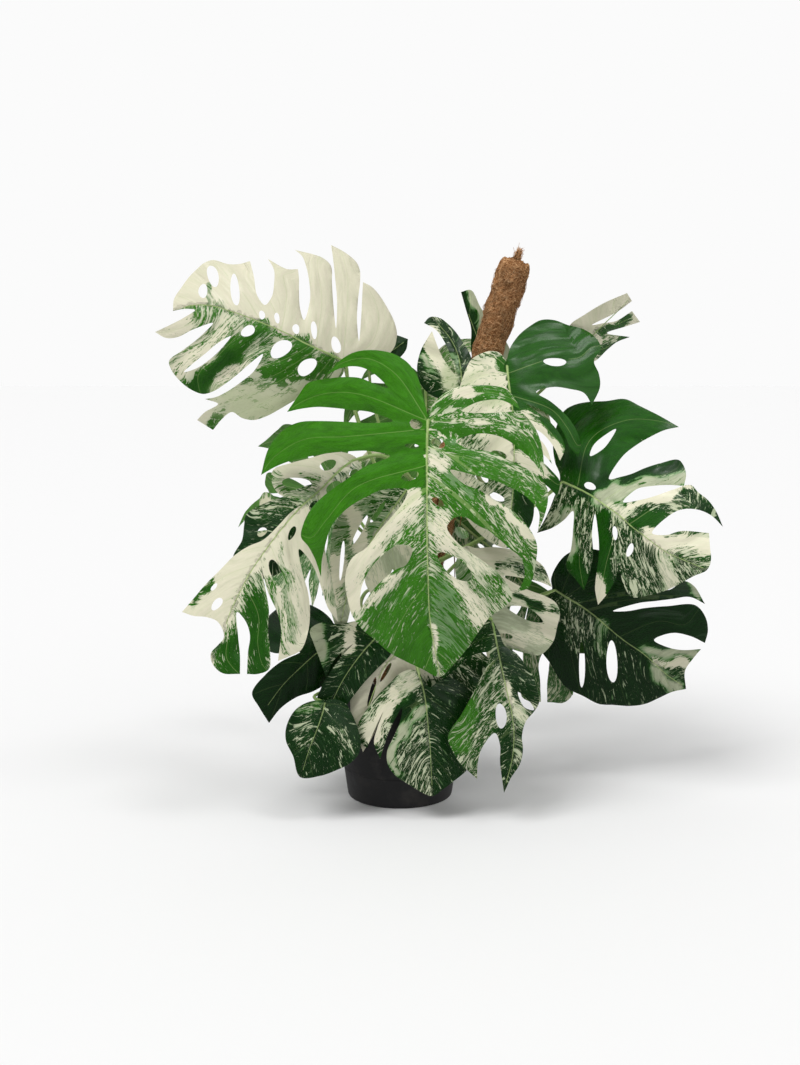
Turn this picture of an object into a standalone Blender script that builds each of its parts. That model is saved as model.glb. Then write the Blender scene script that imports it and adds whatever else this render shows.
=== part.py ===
"""A large white-variegated monstera in a nursery pot, climbing a leaning coir pole.

Metres, +Z up. The origin is the centre of the pot's flat base. -Y is the side
that the plant shows to the viewer. The blades are drawn on an upright picture
plane through the pot's axis and carried along the viewer's sight lines to the
depth at which each leaf hangs.
"""
import math
from dataclasses import dataclass, replace

import bpy
import bmesh
import numpy as np
from mathutils import Matrix, Vector
from mathutils.geometry import delaunay_2d_cdt

# Driving dimensions, in metres
POT_HEIGHT = 0.270
POT_TOP_RADIUS = 0.148
POT_BASE_RADIUS = 0.112
POT_WALL = 0.003
POT_RIM_DEPTH = 0.026
POT_RIM_PROUD = 0.004
POT_FLOOR = 0.005
POT_FOOT_BEVEL = 0.004
DRAIN_RADIUS = 0.007
DRAIN_CIRCLE = 0.075
DRAIN_COUNT = 6
DRAIN_TURN = math.radians(5.6)
SOIL_BELOW_RIM = 0.022
SOIL_MOUND = 0.006
SOIL_SLOPE = ((0.75, 0.4), (0.40, 1.0))
HOLE_REACH = 0.370
POLE_RADIUS = 0.041
POLE_TOP_RADIUS = 0.033
POLE_WAIST = 0.003
POLE_WAIST_AT = 0.82
POLE_WAIST_SPREAD = 0.05
POLE_DOME = 0.020
POLE_SHOULDER = 0.6
POLE_SHOULDER_DROP = 0.2
CORE_RADIUS = 0.016
CORE_SHORTER = 0.035
STEM_RADIUS = 0.013
STEM_TOP_RADIUS = 0.009
STEM_GAP_TO_POLE = 0.004
STEM_FOOT = 0.175
STEM_HEAD = 0.860
BLADE_HALF = 0.0009
RIB_DEPTH = 0.0040
RIB_TAPER = 0.8
PETIOLE_RADIUS = 0.0056
PETIOLE_END_RADIUS = 0.0040
PETIOLE_FULL_LEAF = 0.50
PETIOLE_LEAST = 0.6
SHEATH_OUT = 0.014
SHEATH_UP = 0.012
SEAT_GAP = 0.0003

# The leaning line of the pole: across, away from the viewer, up
POLE_FOOT = Vector((-0.073, 0.0, 0.085))
POLE_HEAD = Vector((0.243, 0.052, 1.130))

# The picture plane: size of one unit, the viewer's distance and tilt, and where the floor lies
PLANE_UNIT = 0.0021
VIEW_DISTANCE = 2.6
VIEW_TILT = math.radians(7.0)
PLANE_CENTRE = (400.0, 532.5)
PLANE_FLOOR = 800.0

# The shares of a midrib's length between which a blade keeps on arching
ARCH_FROM = -0.5
ARCH_TO = 1.2

# How finely the shapes are divided; the first five are in plane units
INNER_STEP = 30.0
INNER_CLEARANCE = 7.0
RIB_CLEARANCE = 2.0
EDGE_TOLERANCE = 0.55
MERGE_DISTANCE = 1e-5
OVAL_SIDES = 7
PETIOLE_SIDES = 6
PETIOLE_STEP = 0.055
PLACE_DIGITS = 2
POT_SIDES = 32
POLE_SIDES = 16
STEM_SIDES = 14
POLE_RINGS = 12
STEM_RINGS = 10
CUTTER_SIDES = 16
DRAIN_SIDES = 8

# Materials that aren't a blade's: name, colour and roughness
BLACK_PLASTIC = ("black_plastic", (0.012, 0.012, 0.013), 0.50)
SOIL = ("soil", (0.030, 0.018, 0.010), 0.95)
COIR = ("coir", (0.250, 0.130, 0.055), 0.95)
PIPE = ("pipe", (0.500, 0.500, 0.480), 0.45)
STEM_GREEN = ("stem_green", (0.150, 0.230, 0.070), 0.55)

# Blade colours and roughness
GREEN = (0.045, 0.200, 0.020)
MARBLED = (0.180, 0.280, 0.100)
CREAM = (0.720, 0.680, 0.500)
SAGE = (0.300, 0.360, 0.220)
DARK = (0.018, 0.075, 0.018)
BLADE_ROUGHNESS = 0.40


@dataclass(frozen=True)
class Oval:
    """A rounded hole in a blade: centre, length, width and turn on the picture plane."""
    x: float
    y: float
    length: float
    width: float
    turn: float = 0.0

    def loop(self):
        """Return the hole's points."""
        turn = math.radians(self.turn)
        points = []
        for index in range(OVAL_SIDES):
            angle = 2.0 * math.pi * index / OVAL_SIDES
            along = 0.5 * self.length * math.cos(angle)
            across = 0.5 * self.width * math.sin(angle)
            points.append((
                self.x + along * math.cos(turn) - across * math.sin(turn),
                self.y + along * math.sin(turn) + across * math.cos(turn),
            ))
        return points


@dataclass(frozen=True)
class Slot:
    """A drawn-out hole in a blade, with its points on the picture plane."""
    points: tuple

    def loop(self):
        """Return the hole's points."""
        return list(self.points)


@dataclass(frozen=True)
class Drape:
    """How far a blade stands forward of the pot's axis, in metres.

    base and tip hold along the midrib, arch is added half way, left and right
    are added half a midrib's length to each side, and cup bends both sides.
    """
    base: float
    tip: float
    arch: float = 0.0
    left: float = 0.0
    right: float = 0.0
    cup: float = 0.0


@dataclass(frozen=True)
class Leaf:
    """One leaf: midrib from petiole to tip, edge, holes, drape and petiole.

    petiole holds places between the stem and the blade: across, down, forward.
    leaves_stem is the height at which the petiole leaves the stem. turn, shift,
    grow and mirror place a leaf on the plant's far side, and around holds the
    places that its petiole passes on its way round the pole.
    """
    name: str
    midrib: tuple
    edge: tuple
    holes: tuple
    drape: Drape
    petiole: tuple
    leaves_stem: float
    colour: tuple
    turn: float = 0.0
    shift: tuple = (0.0, 0.0)
    grow: float = 1.0
    mirror: bool = False
    around: tuple = ()


LEAVES = (
    Leaf(
        name="leaf_front",
        midrib=(
            (428, 420), (427, 450), (427, 490), (427, 530), (428, 575), (430, 620), (436, 655), (440, 675),
        ),
        edge=(
            (428, 415), (425, 404), (422, 393), (418, 378), (410, 365), (400, 357), (388, 352), (370, 350),
            (355, 352), (342, 359), (327, 374), (345, 367), (360, 367), (373, 373), (388, 388),
            (375, 384), (360, 378), (345, 377), (325, 379), (308, 383), (298, 396), (287, 412),
            (300, 409), (317, 407), (335, 408), (352, 410), (370, 412), (393, 421),
            (372, 423), (350, 422), (320, 421), (300, 422), (286, 428), (274, 439), (267, 452), (261, 475),
            (275, 467), (290, 461), (307, 457), (330, 453), (355, 451), (370, 451), (390, 456),
            (378, 462), (364, 467), (350, 477), (334, 488), (319, 500), (309, 512), (303, 525), (301, 537),
            (308, 546), (315, 559), (321, 577), (322, 560), (325, 546), (331, 527), (340, 515),
            (352, 505), (366, 497), (382, 490), (407, 490),
            (404, 501), (394, 514), (380, 530), (366, 548), (353, 557), (347, 568), (345, 582), (347, 597),
            (352, 615), (361, 628), (375, 640), (390, 653), (405, 661), (422, 669), (440, 677),
            (451, 667), (462, 655), (471, 643), (480, 630), (490, 617), (503, 608), (512, 599),
            (510, 589), (504, 580), (495, 570), (483, 561), (470, 552), (458, 543), (447, 527),
            (456, 517), (467, 518), (477, 525), (489, 531), (499, 539), (509, 548), (519, 556),
            (524, 566), (524, 579), (517, 592), (528, 588), (533, 577), (536, 562), (537, 545),
            (531, 531), (521, 519), (509, 508), (495, 500), (479, 490), (464, 484), (450, 470),
            (470, 474), (482, 477), (496, 481), (509, 487), (521, 493), (531, 501), (539, 512),
            (538, 532), (545, 514), (548, 500), (547, 488), (541, 479), (531, 471), (519, 465),
            (506, 459), (494, 453), (480, 450), (466, 448), (456, 441),
            (475, 434), (489, 434), (501, 437), (512, 443), (522, 451), (532, 460), (544, 477),
            (543, 453), (538, 434), (530, 421), (520, 412), (505, 412), (488, 413), (462, 411),
            (475, 403), (488, 400), (501, 400), (520, 409), (514, 397), (506, 389), (495, 386),
            (478, 385), (460, 386), (447, 391), (437, 400), (430, 409),
        ),
        holes=(
            Oval(416, 424, 13, 10, 20), Oval(412, 446, 15, 5, 8), Oval(410, 476, 18, 9, -15),
            Oval(438, 443, 15, 9, 20), Oval(438, 502, 14, 7, 35), Oval(455, 567, 42, 17, 38),
            Slot((
                (412, 548), (398, 545), (384, 554), (374, 564), (366, 576), (361, 590), (361, 607),
                (366, 600), (373, 590), (386, 577), (397, 569), (406, 565),
            )),
        ),
        drape=Drape(base=0.345, tip=0.300, arch=0.055, left=-0.045, right=-0.030, cup=-0.045),
        petiole=((425, 575, 0.150), (424, 500, 0.270), (427, 440, 0.325)),
        leaves_stem=0.46,
        colour=GREEN,
    ),
    Leaf(
        name="leaf_upper_left",
        midrib=(
            (345, 362), (335, 357), (320, 350), (305, 343), (290, 335), (275, 328), (260, 322), (245, 316),
            (230, 311), (213, 306), (195, 305), (177, 309),
        ),
        edge=(
            (348, 360), (362, 367), (378, 366), (391, 352), (396, 343), (397, 333), (394, 321), (388, 309),
            (380, 296), (372, 287), (363, 282), (362, 300), (361, 320), (359, 341),
            (357, 320), (358, 300), (360, 283), (360, 271), (357, 263), (350, 256), (341, 250), (331, 245),
            (333, 258), (335, 277), (337, 300), (336, 328), (333, 300), (332, 283), (331, 266),
            (323, 258), (312, 254), (295, 250), (302, 256), (306, 266), (309, 280), (310, 300), (304, 320),
            (300, 308), (299, 292), (299, 279), (298, 269), (287, 269), (268, 259), (274, 270),
            (274, 284), (272, 296), (265, 305), (257, 295), (254, 277), (250, 261), (239, 264),
            (228, 264), (213, 260), (204, 263), (197, 269), (189, 277), (181, 288), (174, 299), (173, 311),
            (184, 309), (195, 310), (185, 317), (174, 323), (155, 332), (166, 338), (178, 337), (192, 330),
            (213, 323), (205, 332), (195, 341), (183, 350), (169, 361), (172, 371), (180, 381), (190, 389),
            (203, 394), (214, 391), (225, 384), (238, 374), (247, 366), (263, 354), (254, 371),
            (241, 382), (228, 391), (216, 397), (205, 399), (218, 404), (205, 412), (197, 420), (213, 430),
            (223, 418), (232, 412), (242, 418), (254, 420), (267, 416), (280, 409), (298, 399),
            (318, 394), (333, 385), (343, 374),
        ),
        holes=(
            Oval(203, 291, 14, 9, 95), Oval(213, 276, 22, 11, 75), Oval(235, 290, 32, 9, 85),
            Oval(262, 315, 9, 6, 80), Oval(277, 318, 11, 5, 80), Oval(296, 329, 10, 7, 80),
            Oval(314, 330, 18, 6, 85), Oval(336, 345, 17, 9, 75), Oval(248, 331, 15, 10, -30),
            Oval(281, 349, 24, 15, -35), Oval(307, 367, 22, 14, -40),
            Slot((
                (231, 336), (218, 343), (206, 353), (196, 361), (184, 372), (197, 368), (209, 360), (221, 349),
            )),
        ),
        drape=Drape(base=0.150, tip=0.285, arch=0.030, left=-0.060, right=0.015, cup=-0.050),
        petiole=((385, 480, 0.085), (352, 400, 0.120)),
        leaves_stem=0.60,
        colour=CREAM,
    ),
    Leaf(
        name="leaf_lower_left",
        midrib=(
            (352, 461), (340, 470), (320, 490), (300, 508), (280, 531), (262, 555), (250, 573), (240, 592),
            (232, 608), (226, 624),
        ),
        edge=(
            (354, 456), (341, 452), (328, 453), (310, 458), (291, 463), (273, 470), (272, 483), (279, 494),
            (289, 498), (301, 503), (289, 514), (276, 528), (263, 540), (249, 546), (235, 555), (220, 570),
            (205, 585), (194, 598), (182, 612), (194, 616), (206, 617), (218, 622), (224, 637),
            (218, 645), (211, 653), (212, 663), (222, 673), (240, 674), (240, 655), (238, 635),
            (237, 612), (246, 622), (250, 636), (248, 652), (247, 674), (258, 674), (269, 669), (270, 650),
            (268, 630), (269, 610), (266, 592), (261, 566), (268, 592), (277, 612), (281, 630), (278, 661),
            (290, 656), (301, 650), (308, 632), (310, 612), (308, 592), (303, 575), (299, 549),
            (308, 558), (316, 572), (322, 590), (328, 608), (338, 622), (335, 600), (332, 580), (327, 560),
            (325, 545), (328, 529), (335, 513), (346, 502), (358, 491), (364, 478), (360, 463),
        ),
        holes=(
            Oval(297, 484, 30, 13, 5), Oval(328, 465, 17, 10, -20), Oval(354, 473, 10, 7, -30),
            Oval(334, 488, 17, 12, -40), Oval(313, 505, 11, 5, -50), Oval(292, 533, 15, 6, -65),
            Oval(277, 574, 32, 11, 65), Oval(214, 587, 9, 4, -50), Oval(217, 604, 15, 8, -50),
        ),
        drape=Drape(base=0.150, tip=0.290, arch=0.030, left=-0.030, right=0.015, cup=-0.050),
        petiole=((412, 482, 0.085), (382, 456, 0.125)),
        leaves_stem=0.52,
        colour=MARBLED,
    ),
    Leaf(
        name="leaf_behind_left",
        midrib=((322, 492), (300, 512), (278, 532), (258, 553), (240, 570)),
        edge=(
            (318, 484), (300, 488), (282, 497), (268, 502), (255, 508), (246, 515), (244, 526), (242, 540),
            (233, 557), (236, 577), (252, 580), (268, 578), (285, 570), (302, 555), (316, 540),
            (328, 522), (332, 505), (326, 494),
        ),
        holes=(Oval(262, 532, 11, 8, -40),),
        drape=Drape(base=0.075, tip=0.120, arch=0.020, left=-0.050, right=0.010, cup=-0.030),
        petiole=((390, 560, 0.065), (350, 520, 0.062)),
        leaves_stem=0.42,
        colour=DARK,
    ),
    Leaf(
        name="leaf_upper_right",
        midrib=(
            (507, 366), (509, 385), (512, 405), (514, 430), (514, 460), (513, 490), (510, 520), (508, 540),
        ),
        edge=(
            (506, 360), (510, 348), (519, 335), (530, 326), (541, 320), (554, 320), (568, 325), (583, 329),
            (595, 337), (601, 348), (594, 361), (599, 374), (600, 387), (592, 405), (584, 393), (570, 389),
            (553, 387), (536, 392), (550, 401), (562, 411), (571, 421), (578, 434), (581, 445), (578, 457),
            (570, 447), (564, 434), (555, 421), (543, 411), (526, 404), (540, 414), (552, 424),
            (561, 436), (565, 448), (560, 461), (555, 449), (547, 438), (537, 430), (524, 427),
            (537, 437), (546, 447), (552, 464), (545, 456), (535, 450), (524, 450), (540, 460),
            (551, 470), (560, 482), (557, 496), (547, 486), (535, 478), (522, 476), (531, 490),
            (534, 505), (532, 522), (522, 538), (508, 548), (492, 543), (476, 530), (461, 510), (451, 487),
            (446, 462), (446, 437), (451, 412), (457, 396), (463, 377), (471, 360), (480, 354),
            (491, 351), (500, 353),
        ),
        holes=(
            Oval(555, 362, 23, 8, 3), Oval(499, 455, 16, 8, 20), Oval(482, 478, 14, 8, 25),
            Oval(497, 497, 16, 7, 25), Oval(486, 420, 14, 7, 10),
        ),
        drape=Drape(base=0.105, tip=0.150, arch=0.035, left=-0.020, right=-0.008, cup=-0.030),
        petiole=((478, 410, 0.078), (496, 385, 0.088)),
        leaves_stem=0.72,
        colour=GREEN,
    ),
    Leaf(
        name="leaf_right",
        midrib=(
            (563, 482), (577, 488), (592, 496), (606, 506), (619, 515), (631, 526), (643, 535), (656, 545),
            (668, 553), (686, 561), (703, 568),
        ),
        edge=(
            (560, 477), (555, 462), (553, 445), (556, 428), (564, 411), (574, 405), (587, 402), (606, 401),
            (625, 399), (640, 406), (660, 416), (679, 427), (665, 430), (650, 437), (635, 446), (622, 457),
            (609, 479), (620, 477), (631, 474), (645, 468), (661, 463), (679, 460), (686, 473),
            (684, 486), (669, 485), (652, 486), (637, 489), (623, 502), (640, 500), (655, 496),
            (672, 490), (691, 485), (698, 492), (708, 500), (716, 511), (723, 527), (712, 516), (699, 510),
            (685, 509), (673, 513), (652, 533), (666, 535), (681, 531), (709, 533), (710, 547),
            (711, 560), (707, 570), (694, 576), (681, 583), (667, 590), (650, 595), (632, 597),
            (624, 586), (619, 570), (615, 581), (607, 594), (598, 605), (595, 588), (597, 570), (599, 550),
            (598, 532), (595, 514), (592, 532), (593, 553), (589, 575), (584, 590), (577, 581), (566, 567),
            (571, 549), (573, 530), (573, 511), (564, 520), (552, 528), (537, 533), (546, 517),
            (553, 500),
        ),
        holes=(
            Slot(((616, 429), (601, 438), (593, 446), (590, 456), (603, 449), (611, 439))),
            Oval(590, 486, 12, 7, 20), Oval(615, 533, 14, 5, 85), Oval(630, 550, 14, 6, -70),
        ),
        drape=Drape(base=0.085, tip=0.180, arch=0.040, left=-0.010, right=-0.030, cup=-0.035),
        petiole=((470, 545, 0.075), (525, 512, 0.070)),
        leaves_stem=0.50,
        colour=MARBLED,
    ),
    Leaf(
        name="leaf_lower_right",
        midrib=(
            (555, 590), (566, 597), (581, 606), (596, 617), (611, 630), (626, 642), (641, 652), (653, 662),
            (667, 675), (682, 685),
        ),
        edge=(
            (552, 590), (551, 579), (557, 565), (567, 554), (582, 549), (602, 551), (622, 562), (645, 580),
            (668, 590), (684, 581), (694, 586), (705, 604), (690, 597), (672, 599), (656, 601), (639, 603),
            (613, 611), (628, 611), (645, 608), (668, 606), (695, 605), (705, 616), (708, 630), (705, 643),
            (690, 636), (672, 633), (654, 640), (667, 647), (682, 650), (701, 649), (692, 660), (685, 671),
            (686, 689), (672, 692), (659, 698), (645, 704), (630, 706), (614, 705), (599, 704), (583, 696),
            (567, 688), (558, 677), (550, 663), (541, 650), (539, 632), (541, 614), (546, 600),
        ),
        holes=(Oval(582, 665, 46, 6, 90), Oval(612, 662, 42, 11, 88)),
        drape=Drape(base=0.010, tip=-0.030, arch=0.030, left=-0.030, right=0.005, cup=-0.030),
        petiole=((470, 612, 0.050), (520, 602, 0.010)),
        leaves_stem=0.36,
        colour=DARK,
    ),
    Leaf(
        name="leaf_mid_right",
        midrib=((468, 552), (474, 575), (481, 600), (490, 625), (502, 643), (522, 651)),
        edge=(
            (465, 546), (476, 548), (492, 547), (514, 550), (530, 557), (543, 566), (552, 587),
            (540, 582), (523, 578), (504, 576), (516, 584), (531, 591), (545, 596), (556, 603), (560, 613),
            (557, 627), (553, 642), (540, 655), (525, 653), (509, 648), (496, 642), (484, 632), (474, 618),
            (464, 600), (457, 582), (456, 562),
        ),
        holes=(
            Slot(((507, 607), (520, 606), (532, 610), (543, 622), (533, 622), (519, 616))),
            Oval(506, 636, 14, 5, 10),
        ),
        drape=Drape(base=0.110, tip=0.125, arch=0.015, left=-0.010, right=-0.010, cup=-0.010),
        petiole=((450, 570, 0.078),),
        leaves_stem=0.43,
        colour=SAGE,
    ),
    Leaf(
        name="leaf_bottom_right",
        midrib=(
            (492, 620), (496, 640), (500, 660), (504, 678), (508, 696), (512, 715), (514, 735), (512, 760),
            (506, 783),
        ),
        edge=(
            (490, 616), (481, 623), (470, 635), (461, 648), (452, 661), (441, 680), (455, 670), (469, 657),
            (489, 653), (485, 669), (478, 683), (470, 699), (461, 715), (448, 736), (452, 750), (460, 763),
            (477, 779), (478, 762), (482, 748), (495, 733), (500, 745), (500, 762), (504, 793),
            (511, 778), (520, 764), (523, 750), (522, 736), (526, 721), (533, 713), (539, 703),
            (537, 689), (532, 674), (525, 664), (516, 653), (505, 646), (499, 632),
        ),
        holes=(Oval(501, 716, 25, 11, 85), Slot(((518, 692), (530, 702), (534, 710), (524, 707)))),
        drape=Drape(base=0.195, tip=0.235, arch=0.030, left=-0.020, right=-0.030, cup=-0.020),
        petiole=((450, 625, 0.130), (478, 612, 0.180)),
        leaves_stem=0.34,
        colour=MARBLED,
    ),
    Leaf(
        name="leaf_bottom_centre",
        midrib=((419, 675), (423, 688), (426, 705), (428, 725), (430, 745), (431, 765), (432, 785)),
        edge=(
            (417, 671), (408, 670), (399, 674), (389, 684), (379, 694), (370, 705), (363, 715), (357, 727),
            (360, 742), (367, 748), (373, 733), (383, 712), (377, 729), (374, 743), (380, 759), (384, 746),
            (390, 729), (402, 708), (400, 722), (393, 738), (387, 752), (388, 765), (396, 776), (408, 784),
            (432, 796), (442, 790), (454, 781), (467, 770), (476, 756), (481, 738), (480, 718), (472, 693),
            (462, 684), (452, 678), (440, 680), (430, 687), (424, 680),
        ),
        holes=(),
        drape=Drape(base=0.188, tip=0.205, arch=0.015, left=-0.008, right=-0.012, cup=-0.010),
        petiole=((405, 612, 0.115), (412, 640, 0.178)),
        leaves_stem=0.30,
        colour=MARBLED,
    ),
    Leaf(
        name="leaf_bottom_left",
        midrib=((325, 703), (322, 715), (316, 732), (309, 750), (303, 770)),
        edge=(
            (325, 700), (312, 701), (300, 706), (292, 714), (286, 728), (286, 741), (293, 756), (300, 777),
            (320, 776), (337, 770), (349, 764), (358, 755), (361, 744), (358, 729), (352, 714), (345, 703),
            (334, 699),
        ),
        holes=(),
        drape=Drape(base=0.200, tip=0.225, arch=0.015, left=-0.015, right=0.006, cup=-0.010),
        petiole=((372, 640, 0.085), (348, 664, 0.122), (328, 688, 0.150), (314, 697, 0.178)),
        leaves_stem=0.32,
        colour=DARK,
    ),
    Leaf(
        name="leaf_low_left_rear",
        midrib=((335, 640), (318, 652), (300, 668), (283, 685), (268, 705)),
        edge=(
            (338, 634), (330, 618), (313, 606), (292, 602), (274, 611), (262, 626), (260, 645), (274, 653),
            (300, 652), (282, 661), (266, 674), (252, 693), (259, 707), (269, 723), (281, 708), (297, 697),
            (314, 691), (330, 680), (341, 662),
        ),
        holes=(),
        drape=Drape(base=0.105, tip=0.110, arch=0.020, left=-0.025, right=0.010, cup=-0.030),
        petiole=((385, 625, 0.070), (355, 630, 0.090)),
        leaves_stem=0.35,
        colour=DARK,
    ),
    Leaf(
        name="leaf_low_left_front",
        midrib=((380, 634), (368, 646), (355, 662), (343, 680), (333, 700), (326, 718)),
        edge=(
            (384, 626), (372, 621), (356, 621), (340, 624), (320, 623), (310, 630), (314, 644), (320, 660),
            (326, 677), (334, 660), (353, 644), (341, 657), (331, 671), (321, 688), (316, 705), (324, 722),
            (338, 715), (352, 698), (363, 684), (377, 669), (391, 654), (394, 640),
        ),
        holes=(),
        drape=Drape(base=0.160, tip=0.180, arch=0.010, left=-0.006, right=-0.004, cup=-0.008),
        petiole=((388, 600, 0.115), (382, 618, 0.158)),
        leaves_stem=0.38,
        colour=SAGE,
    ),
    Leaf(
        name="leaf_low_centre_rear",
        midrib=((425, 640), (405, 648), (388, 662), (376, 685), (366, 715), (362, 740)),
        edge=(
            (428, 634), (408, 630), (385, 628), (365, 626), (348, 630), (343, 640), (349, 655), (352, 675),
            (350, 700), (353, 725), (363, 752), (373, 736), (382, 716), (394, 702), (410, 698), (428, 703),
            (445, 708), (462, 702), (478, 692), (490, 680), (492, 664), (480, 651), (460, 643), (442, 636),
        ),
        holes=(Oval(372, 692, 30, 5, -75), Oval(386, 672, 22, 4, -60)),
        drape=Drape(base=0.150, tip=0.168, arch=0.006, left=0.0, right=-0.004, cup=-0.004),
        petiole=((440, 622, 0.105),),
        leaves_stem=0.40,
        colour=CREAM,
    ),
    Leaf(
        name="leaf_mid_left",
        midrib=((408, 488), (392, 510), (375, 535), (360, 562), (348, 592), (341, 622)),
        edge=(
            (411, 482), (398, 483), (384, 487), (370, 491), (356, 499), (344, 511), (334, 526), (330, 548),
            (330, 575), (330, 602), (334, 622), (342, 638), (348, 620), (352, 600), (355, 580), (362, 566),
            (366, 585), (376, 602), (386, 585), (394, 568), (398, 582), (406, 592), (413, 572), (417, 548),
            (418, 522), (416, 500),
        ),
        holes=(Oval(360, 530, 34, 5, -62), Oval(378, 512, 26, 5, -55), Oval(342, 560, 40, 4, -85)),
        drape=Drape(base=0.110, tip=0.150, arch=0.010, left=-0.010, right=-0.004, cup=-0.010),
        petiole=((428, 520, 0.085),),
        leaves_stem=0.55,
        colour=SAGE,
    ),
    Leaf(
        name="leaf_top",
        midrib=((462, 386), (461, 372), (458, 355), (450, 338), (438, 324)),
        edge=(
            (461, 393), (450, 399), (440, 399), (428, 393), (420, 383), (417, 368), (421, 350), (427, 339),
            (432, 331), (437, 345), (443, 358), (455, 374), (451, 357), (444, 341), (436, 330), (424, 323),
            (430, 317), (440, 318), (447, 323), (455, 331), (462, 341), (469, 352), (473, 366), (470, 382),
        ),
        holes=(),
        drape=Drape(base=0.010, tip=-0.060, arch=0.012, left=-0.030, right=-0.030, cup=0.0),
        petiole=((438, 425, 0.030),),
        leaves_stem=0.74,
        colour=CREAM,
    ),
    Leaf(
        name="leaf_top_rear",
        midrib=((490, 385), (485, 365), (478, 340), (470, 318), (464, 300)),
        edge=(
            (492, 390), (482, 384), (475, 370), (471, 350), (471, 328), (466, 310), (461, 292), (471, 290),
            (481, 308), (492, 322), (504, 338), (512, 356), (510, 374), (502, 386),
        ),
        holes=(),
        drape=Drape(base=-0.130, tip=-0.125, arch=0.010, left=-0.010, right=-0.010, cup=0.0),
        petiole=((420, 480, 0.0), (440, 430, -0.120), (475, 405, -0.140)),
        leaves_stem=0.66,
        colour=DARK,
    ),
    Leaf(
        name="leaf_far_right",
        midrib=((578, 350), (590, 338), (603, 325), (617, 312), (628, 300)),
        edge=(
            (574, 352), (567, 338), (570, 325), (584, 315), (604, 303), (627, 293), (632, 301), (617, 312),
            (592, 325), (604, 323), (616, 321), (632, 311), (640, 322), (624, 327), (607, 333), (630, 337),
            (617, 342), (607, 350), (595, 361), (582, 364),
        ),
        holes=(),
        drape=Drape(base=-0.020, tip=0.060, arch=-0.010, left=-0.150, right=0.060, cup=0.0),
        petiole=((490, 425, 0.066), (530, 400, 0.035), (560, 372, -0.010)),
        leaves_stem=0.69,
        colour=CREAM,
    ),
    Leaf(
        name="leaf_small_rear",
        midrib=((368, 366), (380, 358), (393, 350), (404, 342)),
        edge=(
            (364, 368), (368, 352), (380, 341), (394, 335), (408, 339), (406, 350), (395, 362), (380, 372),
        ),
        holes=(),
        drape=Drape(base=0.070, tip=0.050, arch=0.006, left=-0.010, right=-0.010, cup=0.0),
        petiole=((400, 470, 0.060), (375, 410, 0.070)),
        leaves_stem=0.63,
        colour=DARK,
    ),
)


def rear(source, name, **changes):
    """Return a leaf for the far side: another leaf's outline, turned about the pot's axis."""
    leaf = next(leaf for leaf in LEAVES if leaf.name == source)
    return replace(leaf, name=name, **changes)


REAR_LEAVES = (
    rear("leaf_right", "leaf_rear_left", turn=150.0, shift=(-60.0, 30.0), leaves_stem=0.57,
         drape=Drape(base=0.110, tip=0.150, arch=0.030, left=-0.030, right=0.010, cup=-0.040),
         petiole=((520, 530, 0.100),), around=((388, 560, 0.020), (370, 545, -0.060)), colour=MARBLED),
    rear("leaf_front", "leaf_rear_middle", turn=180.0, shift=(-60.0, -30.0), leaves_stem=0.62, grow=0.86,
         drape=Drape(base=0.290, tip=0.250, arch=0.040, left=-0.040, right=-0.040, cup=-0.040),
         petiole=((375, 480, 0.200), (369, 410, 0.272)), around=((492, 490, 0.000), (480, 480, -0.090)),
         colour=GREEN),
    rear("leaf_lower_left", "leaf_rear_right", turn=160.0, shift=(20.0, 60.0), leaves_stem=0.45,
         drape=Drape(base=0.120, tip=0.180, arch=0.030, left=-0.010, right=0.020, cup=-0.040),
         petiole=((375, 540, 0.100),), around=((475, 590, 0.010), (480, 575, -0.050)), colour=MARBLED),
    rear("leaf_bottom_centre", "leaf_rear_low", turn=180.0, shift=(0.0, -15.0), leaves_stem=0.33, grow=1.15,
         drape=Drape(base=0.200, tip=0.205, arch=0.015, left=-0.010, right=-0.010, cup=-0.010),
         petiole=((425, 637, 0.155), (420, 656, 0.188)),
         around=((372, 625, 0.020), (361, 606, -0.035), (366, 592, -0.095)),
         colour=DARK),
)


def sight_point(x, y, forward, turn=0.0):
    """Carry a place on the picture plane along its sight line to a distance forward of the axis."""
    right = Vector((1.0, 0.0, 0.0))
    ahead = Vector((0.0, math.cos(VIEW_TILT), -math.sin(VIEW_TILT)))
    above = Vector((0.0, math.sin(VIEW_TILT), math.cos(VIEW_TILT)))
    height = (PLANE_FLOOR - PLANE_CENTRE[1]) * PLANE_UNIT
    eye = Vector((0.0, 0.0, height)) - ahead * VIEW_DISTANCE
    line = (
        ahead * VIEW_DISTANCE
        + right * (x - PLANE_CENTRE[0]) * PLANE_UNIT
        - above * (y - PLANE_CENTRE[1]) * PLANE_UNIT
    )
    place = eye + line * ((-forward - eye.y) / line.y)
    return Matrix.Rotation(math.radians(turn), 3, "Z") @ place


def set_out(leaf, points):
    """Shift, grow and mirror a leaf's points on the picture plane."""
    start_x, start_y = leaf.midrib[0]
    placed = []
    for x, y in points:
        x = start_x + (x - start_x) * leaf.grow + leaf.shift[0]
        y = start_y + (y - start_y) * leaf.grow + leaf.shift[1]
        if leaf.mirror:
            x = 2.0 * PLANE_CENTRE[0] - x
        placed.append((x, y))
    return placed


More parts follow.
